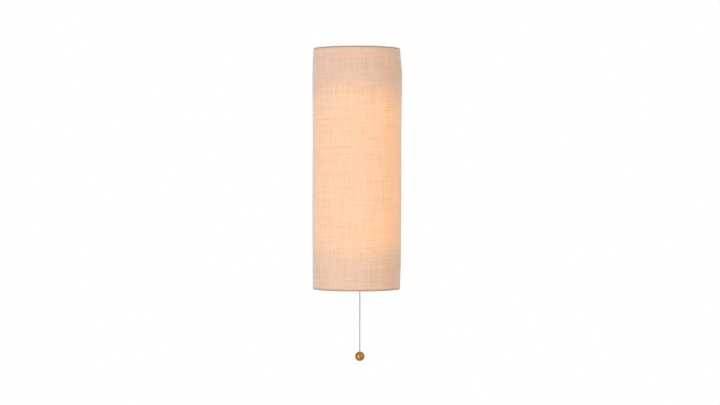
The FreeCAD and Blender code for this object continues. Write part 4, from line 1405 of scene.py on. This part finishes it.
@dataclass
class ThumbNuts:
    """The two knurled nuts that hold the bars, each with a collar and a chamfered, dished head."""

    teeth: int = 36
    knurl_depth: float = 0.35 * MM
    chamfer: float = 0.6 * MM
    collar: float = 4.5 * MM
    collar_length: float = 2.5 * MM
    bore: float = 2.05 * MM
    bore_edge: float = 0.5 * MM
    dish_depth: float = 0.4 * MM
    dish_rim: float = 0.6
    dish_floor: float = 0.5

    def build(self) -> None:
        """Model both nuts."""
        for where in ("upper", "lower"):
            self.nut(where)

    def nut(self, where: str) -> None:
        """Turn and knurl one nut, as long and as wide as its CAD node.

        Args:
            where: upper or lower.
        """
        node = f"thumb_nut_{where}"
        low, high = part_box(node)
        head, length = (high.x - low.x) / 2, high.y - low.y
        floor = length - self.dish_depth
        spindle = Spindle((0.0, high.y, (low.z + high.z) / 2), TO_ROOM, 2 * self.teeth)
        nut = spindle.turned(f"knurled_nut_{where}", [
            (self.bore, 0.0), (self.collar, 0.0), (self.collar, self.collar_length),
            (head - self.chamfer, self.collar_length), (head, self.collar_length + self.chamfer),
            (head, length - self.chamfer), (head - self.chamfer, length), (head * self.dish_rim, length),
            (head * self.dish_floor, floor), (self.bore + self.bore_edge, floor),
            (self.bore, floor - self.bore_edge), (self.bore, 0.0)])
        spindle.knurl(nut, self.collar_length, length, head, self.knurl_depth)
        stand_in(nut, 25.0, NICKEL.make(), f"nut_{where}", "nut_nickel", node)


@dataclass
class Studs:
    """The two threaded studs pressed into the tray from behind."""

    root: float = 1.62 * MM
    crest: float = 2.0 * MM
    pitch: float = 0.7 * MM
    thread_start: float = 0.9 * MM
    head: float = 4.0 * MM
    head_length: float = 1.0 * MM
    head_edge: tuple[float, float] = mm(0.4, 0.3)

    def build(self) -> None:
        """Model both studs as one piece."""
        low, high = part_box("shade_studs")
        ends = (self.thread_start, high.y - low.y)
        parts = []
        for height in BAR_HEIGHTS:
            spindle = Spindle((0.0, high.y, height), TO_ROOM, 32)
            parts.append(spindle.threaded("stud", self.root, self.crest, self.pitch, ends))
            parts.append(spindle.turned("stud_head", [
                (0.0, 0.0), (self.head - self.head_edge[0], 0.0), (self.head, self.head_edge[1]),
                (self.head, self.head_length), (0.0, self.head_length)]))
        stand_in(Bench.join(parts, "threaded_studs"), 30.0, BRIGHT_ZINC.make(), "root", "screw_steel",
                 "shade_studs")


@dataclass
class PanScrews:
    """Pan-head screws with a cross recess, all driven towards the wall."""

    head: float = 3.7 * MM
    head_length: float = 2.4 * MM
    head_edge: float = 0.15 * MM
    joint: float = 0.1 * MM
    shank: float = 2.0 * MM
    root_share: float = 0.82
    pitch: float = 0.7 * MM
    recess_depth: float = 1.5 * MM
    recess_reach: float = 1.9 * MM
    recess_width: float = 0.75 * MM
    recess_taper: float = 0.45
    rim_share: float = 0.45
    dome_steps: int = 6
    first_turn: float = math.radians(25.0)
    further_turn: float = math.radians(40.0)

    def build(self) -> None:
        """Model the screws of the tray, the lamp bracket and the switch."""
        self.drive("tray_screws", "backplate_screws", [mm(-28.0, 0.0), mm(28.0, 0.0)])
        self.drive("lamp_bracket_screws", "bracket_screws", [mm(0.0, 9.5), mm(0.0, -9.5)])
        self.drive("switch_bracket_screws", "switch_screws", [mm(5.0, -164.0), mm(5.0, -174.0)])

    def drive(self, name: str, node: str, places: Sequence[tuple[float, float]]) -> None:
        """Model the screws of one node, each turned a little further than the last.

        Args:
            name: the piece's name.
            node: its CAD node.
            places: where each screw is, across and up.
        """
        low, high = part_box(node)
        seat = low.y + self.head_length
        screws = []
        for turn, (across, up) in enumerate(places):
            spindle = Spindle((across, seat, up), TO_ROOM, 32)
            screws.append(spindle.threaded("shank", self.root_share * self.shank, self.shank, self.pitch,
                                           (seat - high.y, self.joint)))
            dome = [self.dome(step * math.pi / 2 / self.dome_steps) for step in range(self.dome_steps + 1)]
            head = spindle.turned("head", [(0.0, 0.0), (self.head - self.head_edge, 0.0)] + dome)
            for quarter in (0, 1):
                angle = quarter * math.pi / 2 + self.first_turn + turn * self.further_turn
                Bench.carve(head, self.recess(spindle, angle))
            screws.append(head)
        stand_in(Bench.join(screws, name), 35.0, BRIGHT_ZINC.make(), "root", "screw_steel", node)

    def dome(self, angle: float) -> tuple[float, float]:
        """Radius and height of the domed head where it has risen by an angle, in radians."""
        rise = self.rim_share + (1.0 - self.rim_share) * math.sin(angle)
        return self.head * math.cos(angle), self.head_length * rise

    def recess(self, spindle: Spindle, angle: float) -> bpy.types.Object:
        """Make the cutter for one arm of the cross recess, narrower at its foot.

        Args:
            spindle: the screw's axis.
            angle: how far the screw is turned, in radians.

        Returns:
            The cutter.
        """
        mouth = spindle.point(0.0, self.head_length)
        cutter = Bench.block(
            "recess", mouth, (2 * self.recess_reach, 2 * self.recess_depth, self.recess_width), angle)
        Bench.edit(cutter)
        Bench.pick(cutter, lambda co: co.y > mouth.y)
        bpy.ops.transform.resize(value=(self.recess_taper, 1.0, self.recess_taper),
                                 center_override=spindle.point(0.0, 0.0))
        Bench.clear()
        return cutter


@dataclass
class LampSupports:
    """The threaded tubes through the lamp bracket's ears, and the nuts inside it."""

    tube: float = 5.0 * MM
    thread_depth: float = 0.55 * MM
    bore: float = 3.5 * MM
    pitch: float = 1.0 * MM
    tube_ends: Span = mm(9.0, 20.5)
    nut_ends: Span = mm(10.5, 14.0)
    flats: float = 14.0 * MM

    def build(self) -> None:
        """Model the tubes and the nuts."""
        tubes, nuts = [], []
        low, high = self.tube_ends
        for lamp in Lamp:
            spindle = Spindle(LAMP_AXIS, lamp.value)
            tube = spindle.threaded("tube", self.tube - self.thread_depth, self.tube, self.pitch, (low, high))
            spindle.drill(tube, self.bore, (low - MM, high + MM))
            tubes.append(tube)
            nuts.append(spindle.hexagon_nut("nut", self.nut_ends, self.flats, self.tube))
        for parts, name, node in ((tubes, "threaded_tubes", "nipples"), (nuts, "tube_nuts", "nipple_nuts")):
            stand_in(Bench.join(parts, name), 30.0, YELLOW_ZINC.make(), "root", "tube_zinc", node)


@dataclass
class LampHolders:
    """The moulded lampholders: a ribbed cap on the tube, and a waisted body with a ribbed lip.

    Heights are along the lamps' axis, out from the middle between them.
    """

    ribs: int = 30
    rib_depth: float = 0.5 * MM
    wall: float = 1.8 * MM
    cap_foot: float = 15.5 * MM
    cap_top: float = 27.5 * MM
    cap_radius: float = 13.0 * MM
    cap_bore: float = 5.02 * MM
    body_radius: float = 13.6 * MM
    body_inside: float = 11.2 * MM
    body_foot: float = 36.0 * MM
    body_top: float = 63.6 * MM
    waist: float = 12.4 * MM
    lip: float = 14.4 * MM
    mouth: float = 9.2 * MM
    sleeve_bore: float = 7.35 * MM
    sleeve_floor: float = 39.0 * MM
    sleeve_end: float = 59.0 * MM

    def build(self) -> None:
        """Model the cap and the body of both holders."""
        for lamp in Lamp:
            spindle = Spindle(LAMP_AXIS, lamp.value, 2 * self.ribs)
            for part, node in ((self.cap(spindle), "holder_cap"), (self.body(spindle), "holder_body")):
                part.name = part.data.name = f"{part.name}_{lamp.label}"
                stand_in(part, 28.0, HOLDER_PLASTIC.make(), "root", "holder_plastic", f"{node}_{lamp.label}")

    def cap(self, spindle: Spindle) -> bpy.types.Object:
        """Turn one cap and press its ribs.

        Args:
            spindle: the holder's axis.

        Returns:
            The cap.
        """
        foot, top, radius, wall, bore = self.cap_foot, self.cap_top, self.cap_radius, self.wall, self.cap_bore
        cap = spindle.turned("ribbed_cap", [
            (bore, foot), (radius - 2.4 * MM, foot), (radius - 0.7 * MM, foot + 0.6 * MM),
            (radius, foot + 2.2 * MM), (radius, foot + 3.2 * MM), (radius, top - 1.6 * MM),
            (radius, top - 0.6 * MM), (radius - 0.4 * MM, top), (radius - wall, top),
            (radius - wall, foot + wall), (bore, foot + wall), (bore, foot)])
        spindle.knurl(cap, foot + 3.0 * MM, top - 1.4 * MM, radius, self.rib_depth)
        return cap

    def body(self, spindle: Spindle) -> bpy.types.Object:
        """Turn one body and press the ribs of its lip.

        Args:
            spindle: the holder's axis.

        Returns:
            The body.
        """
        radius, joint, top, waist = self.body_radius, self.cap_top, self.body_top, self.waist
        lip, mouth, bore, inside = self.lip, self.mouth, self.sleeve_bore, self.body_inside
        body = spindle.turned("ribbed_holder", [
            (0.0, self.body_foot), (inside, self.body_foot), (inside, joint), (radius - 0.3 * MM, joint),
            (radius, joint + 0.3 * MM), (radius, joint + 3.0 * MM), (waist, joint + 4.2 * MM),
            (waist, top - 9.0 * MM), (lip, top - 7.0 * MM), (lip, top - 6.2 * MM), (lip, top - 1.6 * MM),
            (lip, top - 0.8 * MM), (lip - 0.8 * MM, top), (mouth + 0.4 * MM, top), (mouth, top - 0.4 * MM),
            (mouth, self.sleeve_end), (bore, self.sleeve_end), (bore, self.sleeve_floor),
            (0.0, self.sleeve_floor)])
        spindle.knurl(body, top - 6.3 * MM, top - 1.5 * MM, lip, self.rib_depth)
        return body


@dataclass
class BulbCaps:
    """The bulbs' screw caps: a rounded thread, a skirt above it and the insulator at its foot."""

    pitch: float = 2.8 * MM
    root: float = 6.1 * MM
    crest: float = 6.85 * MM
    thread_ends: Span = mm(44.4, 59.6)
    flat: float = 0.3
    skirt: tuple[tuple[float, float], ...] = (
        mm(0.0, 59.4), mm(6.5, 59.4), mm(6.85, 60.0), mm(8.2, 62.4), mm(8.4, 62.8), mm(8.4, 64.3),
        mm(0.0, 64.3))
    insulator: tuple[tuple[float, float], ...] = (
        mm(0.0, 41.6), mm(2.6, 41.6), mm(3.4, 42.2), mm(5.85, 44.0), mm(6.1, 44.6), mm(0.0, 44.6))

    def build(self) -> None:
        """Model both caps."""
        for lamp in Lamp:
            spindle = Spindle(LAMP_AXIS, lamp.value)
            thread = spindle.threaded(
                "thread", self.root, self.crest, self.pitch, self.thread_ends, self.flat)
            parts = [thread, spindle.turned("skirt", self.skirt), spindle.turned("insulator", self.insulator)]
            stand_in(Bench.join(parts, f"screw_cap_{lamp.label}"), 40.0, BULB_NICKEL.make(),
                     f"bulb_{lamp.label}", "bulb_nickel", f"bulb_cap_{lamp.label}")


@dataclass
class SwitchNeck:
    """The switch's threaded bushing below its arm, with the nut and the knurled ring on it."""

    axis: Point = mm(5.0, -50.0, 0.0)
    radius: float = 5.0 * MM
    thread_depth: float = 0.5 * MM
    bore: float = 1.6 * MM
    pitch: float = 1.0 * MM
    foot: float = -190.5 * MM
    nose_length: float = 0.7 * MM
    arm_inside: float = -178.0 * MM
    flange: float = 6.5 * MM
    flange_top: float = -176.5 * MM
    nut_ends: Span = mm(-184.5, -181.5)
    flats: float = 14.0 * MM
    ring_ends: Span = mm(-188.5, -184.5)
    ring_radius: float = 7.0 * MM
    teeth: int = 30
    knurl_depth: float = 0.35 * MM

    def build(self) -> None:
        """Model the bushing, the nut and the ring."""
        spindle = Spindle(self.axis, steps=2 * self.teeth)
        bushing = self.bushing(spindle)
        nut = spindle.hexagon_nut("bushing_nut", self.nut_ends, self.flats, self.radius)
        for piece, node in ((bushing, "switch_bushing"), (nut, "switch_nut"),
                            (self.ring(spindle), "switch_ring")):
            stand_in(piece, 28.0, NICKEL_UPRIGHT.make(), "root", "nut_nickel", node)

    def bushing(self, spindle: Spindle) -> bpy.types.Object:
        """Thread the bushing, bore it, and give it its plain nose and its collar inside the arm.

        Args:
            spindle: the switch's axis.

        Returns:
            The bushing.
        """
        foot, root, bore = self.foot, self.radius - self.thread_depth, self.bore
        thread = spindle.threaded("thread", root, self.radius, self.pitch,
                                  (foot + 0.6 * MM, self.arm_inside + 0.1 * MM))
        spindle.drill(thread, bore + 0.05 * MM, (foot - MM, self.flange_top + MM))
        nose_top = foot + self.nose_length
        nose = spindle.turned("nose", [(bore, foot), (root - 0.4 * MM, foot), (root, foot + 0.4 * MM),
                                       (root, nose_top), (bore, nose_top), (bore, foot)])
        collar = spindle.turned("collar", [
            (bore, self.arm_inside), (self.flange, self.arm_inside), (self.flange, self.flange_top),
            (bore, self.flange_top), (bore, self.arm_inside)])
        return Bench.join([thread, nose, collar], "threaded_bushing")

    def ring(self, spindle: Spindle) -> bpy.types.Object:
        """Turn and knurl the ring below the nut.

        Args:
            spindle: the switch's axis.

        Returns:
            The ring.
        """
        (foot, top), head = self.ring_ends, self.ring_radius
        ring = spindle.turned("knurled_ring", [
            (self.radius, foot), (head - 1.0 * MM, foot), (head - 0.4 * MM, foot + 0.4 * MM),
            (head, foot + 0.7 * MM), (head, top - 0.6 * MM), (head - 0.5 * MM, top),
            (self.radius, top), (self.radius, foot)])
        spindle.knurl(ring, foot + 0.6 * MM, top - 0.5 * MM, head, self.knurl_depth)
        return ring


@dataclass
class ReturnSpring:
    """The coil spring that lifts the pull again, ground flat at both ends."""

    wire: float = 0.5 * MM
    wire_sides: int = 12
    turns: int = 5
    turn_steps: int = 32
    travel: float = 8.0 * MM

    def build(self) -> None:
        """Wind the coil to the size of its node."""
        low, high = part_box("return_spring")
        length, middle = high.z - low.z, (low + high) / 2
        foot = Vector((middle.x, middle.y, low.z))
        pitch = length / self.turns
        Bench.clear()
        bpy.ops.mesh.primitive_circle_add(vertices=self.wire_sides, radius=self.wire,
                                          location=((high.x - low.x) / 2 - self.wire, 0.0, 0.0),
                                          rotation=(math.pi / 2, 0.0, 0.0))
        coil = Bench.done(bpy.context.object, "return_coil")
        Bench.apply(coil, "SCREW", axis="Z", angle=2 * math.pi, screw_offset=pitch,
                    steps=self.turn_steps, render_steps=self.turn_steps, iterations=self.turns + 2)
        coil.location = foot - Vector((0.0, 0.0, pitch))
        Bench.done(coil, "return_coil")
        Bench.trim(coil, foot, foot + Vector((0.0, 0.0, length)))
        stand_in(coil, 50.0, SPRING_STEEL.make(), "root", "spring_steel", "return_spring")
        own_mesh(coil)


@dataclass
class TerminalStrip:
    """The three-pole terminal block: a moulding with raised entries, pierced for wires and screws."""

    middle: Point = mm(0.0, -6.5, -60.0)
    sizes: Point = mm(28.0, 8.6, 14.0)
    entry_rise: float = 1.2 * MM
    pole_line: float = -5.0 * MM
    pole_spread: float = 8.0 * MM
    way: float = 1.3 * MM
    entry: float = 2.6 * MM
    entry_lip: float = 0.3 * MM
    well: float = 1.75 * MM
    well_depth: float = 1.9 * MM
    well_spread: float = 3.2 * MM
    head: tuple[tuple[float, float], ...] = (
        mm(0.0, 0.4), mm(1.4, 0.4), mm(1.7, 0.65), mm(1.7, 1.6), mm(0.0, 1.6))
    slot: Point = mm(4.0, 1.2, 0.55)
    first_turn: float = math.radians(20.0)
    turn_by_pole: float = math.radians(50.0)
    turn_by_row: float = math.radians(65.0)
    edge: float = 0.5 * MM

    def build(self) -> None:
        """Model the block and its six slotted screws."""
        wide, deep, tall = self.sizes
        across, back, up = self.middle
        block = Bench.block("terminal_strip", self.middle, (wide, deep, tall - 2 * self.entry_rise))
        Bench.apply(block, "BEVEL", width=self.edge, segments=2)
        parts, heads = [block], []
        for index, side in enumerate((-1, 0, 1)):
            pole = Spindle((across + side * self.pole_spread, self.pole_line, up), steps=28)
            pole.drill(block, self.way, (-tall, tall))
            parts += [self.entry_collar(pole, end) for end in SIDES]
            for row, rise in enumerate((-self.well_spread, self.well_spread)):
                axis = Spindle((pole.place[0], back + deep / 2, up + rise), TO_ROOM, 24)
                axis.drill(block, self.well, (-MM, self.well_depth))
                turn = self.first_turn + index * self.turn_by_pole + row * self.turn_by_row
                heads.append(self.slotted_head(axis, turn))
        stand_in(Bench.join(parts, "terminal_strip"), 35.0, BLOCK_PLASTIC.make(), "root", "block_plastic",
                 "terminal_block")
        stand_in(Bench.join(heads, "slotted_screws"), 30.0, BRIGHT_ZINC.make(), "root", "screw_steel",
                 "terminal_screws")

    def entry_collar(self, pole: Spindle, end: float) -> bpy.types.Object:
        """Turn the raised collar round one wire entry.

        Args:
            pole: the wire way's axis.
            end: -1 for the lower entry, 1 for the upper one.

        Returns:
            The collar.
        """
        bore, lip, top = self.way - 0.05 * MM, self.entry_lip, self.sizes[2] / 2
        foot = top - self.entry_rise - 0.5 * MM
        outline = [(bore, foot), (self.entry, foot), (self.entry, top - lip), (self.entry - lip, top),
                   (bore, top), (bore, foot)]
        return pole.turned("collar", [(radius, end * height) for radius, height in outline])

    def slotted_head(self, axis: Spindle, angle: float) -> bpy.types.Object:
        """Turn one screw head and cut its slot.

        Args:
            axis: the screw's axis, from the block's face towards the room.
            angle: how far the screw is turned, in radians.

        Returns:
            The head.
        """
        head = axis.turned("head", self.head)
        Bench.carve(head, Bench.block("slot", axis.point(0.0, self.head[0][1]), self.slot, angle))
        return head


# --- The pull cord -----------------------------------------------------------------------------


@dataclass
class PullCord:
    """The cotton cord that hangs from the switch's link, twisted from three strands."""

    strands: int = 3
    strand_radius: float = 0.55 * MM
    lay_length: float = 7.0 * MM
    profile_points: int = 30
    diameter: float = 2.0 * MM
    length: float = 0.1146
    route: tuple[Point, ...] = (
        (0.0050, -0.0500, -0.20156), (0.0050, -0.0500, -0.2120), (0.0051, -0.0500, -0.2320),
        (0.0049, -0.0501, -0.2580), (0.0049, -0.0500, -0.2860), (0.0050, -0.0500, -0.3040),
        (0.0050, -0.0500, -0.31620),
    )

    def build(self) -> None:
        section, cord = self.strand_profile(), self.line()
        line_mesh = bpy.data.meshes.new_from_object(cord)
        bpy.data.meshes.remove(line_mesh)
        cord.data.bevel_mode = "OBJECT"
        cord.data.bevel_object = section
        cord.data.use_fill_caps = True
        Bench.hold(cord)
        bpy.ops.object.convert(target="MESH")
        cord = bpy.context.object
        bpy.data.objects.remove(section)
        Bench.edit(cord)
        Bench.close()
        Bench.done(cord, "pull_cord")
        cotton = CottonFinish().make()
        stand_in(cord, 50.0, cotton, "cord_and_ball", "cord_cotton", "cord")
        dress(bpy.data.objects["cord_knot"], cotton)

    def line(self) -> bpy.types.Object:
        """Lay the route as one smooth NURBS line, twisted once for each lay.

        Returns:
            The curve object.
        """
        made, spline = new_curve("cord_line", "3D", "NURBS", len(self.route))
        made.data.resolution_u = 64
        for point, place in zip(spline.points, self.route):
            point.co = (*place, 1.0)
            fallen = self.route[0][2] - place[2]
            point.tilt = 2 * math.pi * fallen / self.lay_length
        spline.order_u = 3
        spline.use_endpoint_u = True
        return made

    def strand_profile(self) -> bpy.types.Object:
        """Draw the outline of the strands side by side, as a section across the cord shows them.

        Returns:
            A closed curve object.
        """
        spread = self.diameter / 2 - self.strand_radius
        made, spline = new_curve("cord_section", "2D", "POLY", self.profile_points)
        for index, point in enumerate(spline.points):
            angle = 2 * math.pi * index / self.profile_points
            turn = (angle % (2 * math.pi / self.strands)) - math.pi / self.strands
            reach = spread * math.cos(turn) + math.sqrt(
                max(0.0, self.strand_radius ** 2 - (spread * math.sin(turn)) ** 2))
            point.co = (reach * math.cos(angle), reach * math.sin(angle), 0.0, 1.0)
        spline.use_cyclic_u = True
        return made


# --- The studio --------------------------------------------------------------------------------


@dataclass(frozen=True)
class SoftBox:
    """One soft box: where it stands, its width and height, its power in watts and its colour."""

    name: str
    place: Point
    wide: float
    tall: float
    power: float
    colour: Colour


@dataclass
class Studio:
    """The camera at the photograph's angle, with soft boxes on both sides of it and a pale floor."""

    lens: float = 96.0
    camera_place: Point = (0.0053, -3.255, -0.016)
    shift_down: float = -0.0337
    boxes: tuple[SoftBox, ...] = (
        SoftBox("key_light", (-1.75, -2.1, 0.1), 0.9, 3.6, 35.0, (1.0, 0.97, 0.94)),
        SoftBox("strip_light", (-0.5, -1.5, -0.3), 0.16, 3.4, 5.0, (1.0, 0.97, 0.93)),
        SoftBox("fill_light", (1.9, -1.6, 0.3), 2.6, 3.2, 20.0, (1.0, 0.88, 0.64)),
    )
    aim: Point = (0.0, -0.05, -0.05)
    floor_drop: float = -2.6
    floor_size: float = 12.0
    sky: Colour = (1.0, 0.985, 0.965)
    sky_strength: float = 0.66

    def build(self) -> None:
        """Set up the camera, the lights, the sky and the floor."""
        self.camera()
        for box in self.boxes:
            self.light(box)
        self.world()
        self.floor()

    def camera(self) -> None:
        """Add the camera, level and square on, as the photograph was taken."""
        data = bpy.data.cameras.new("camera")
        data.lens = self.lens
        data.shift_y = self.shift_down
        camera = put_in_scene("camera", data)
        camera.location = self.camera_place
        camera.rotation_euler = (math.pi / 2, 0.0, 0.0)
        bpy.context.scene.camera = camera

    def light(self, box: SoftBox) -> None:
        """Set up one soft box, turned towards the wall light.

        Args:
            box: its place, sizes, power and colour.
        """
        data = bpy.data.lights.new(box.name, "AREA")
        data.shape = "RECTANGLE"
        data.size = box.wide
        data.size_y = box.tall
        data.energy = box.power
        data.color = box.colour
        light = put_in_scene(box.name, data)
        light.location = box.place
        light.rotation_euler = (Vector(self.aim) - Vector(box.place)).to_track_quat("-Z", "Y").to_euler()
        light.visible_camera = False

    def world(self) -> None:
        """Make the sky plain white to the camera, and a soft warm white to everything else."""
        world = bpy.data.worlds.new("studio")
        world.use_nodes = True
        bpy.context.scene.world = world
        graph = Graph(world.node_tree)
        shown = graph.node("ShaderNodeBackground", {"Color": (1.0, 1.0, 1.0), "Strength": 1.0})
        lighting = graph.node("ShaderNodeBackground", {"Color": self.sky, "Strength": self.sky_strength})
        seen = graph.node("ShaderNodeLightPath").outputs["Is Camera Ray"]
        both = graph.node("ShaderNodeMixShader", {0: seen, 1: lighting.outputs[0], 2: shown.outputs[0]})
        graph.fill(world.node_tree.nodes["World Output"], {"Surface": both.outputs[0]})

    def floor(self) -> None:
        """Add the floor, well below the light."""
        Bench.clear()
        bpy.ops.mesh.primitive_plane_add(size=self.floor_size, location=(0.0, 0.0, self.floor_drop))
        floor = Bench.done(bpy.context.object, "floor")
        dress(floor, PALE_FLOOR.make())


# --- Putting it together -----------------------------------------------------------------------


def dress_nodes(frame: dict) -> None:
    """Give every CAD node the finish of its material slot.
    """
    for part in frame["record"]["subparts"]:
        finish = SLOT_FINISH.get(part["material_slot"])
        node = frame["nodes"][part["node"]]
        if finish:
            dress(node, finish.make())
            LOG.info("%s has the finish %s", node.name, finish.name)


def main() -> None:
    """Load the frame, set up the studio, dress the CAD nodes and build every sub-assembly."""
    logging.basicConfig(level=logging.INFO, format="%(name)s: %(message)s")
    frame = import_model()
    bpy.context.scene.view_settings.view_transform = "Standard"
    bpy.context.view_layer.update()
    Studio().build()
    dress_nodes(frame)
    for assembly in (PullCord, ShadeLiner, ShadeFrame, LinenShade, ThumbNuts, Studs, PanScrews, LampSupports,
                     LampHolders, BulbCaps, SwitchNeck, ReturnSpring, TerminalStrip):
        assembly().build()


if __name__ == "__main__":
    main()
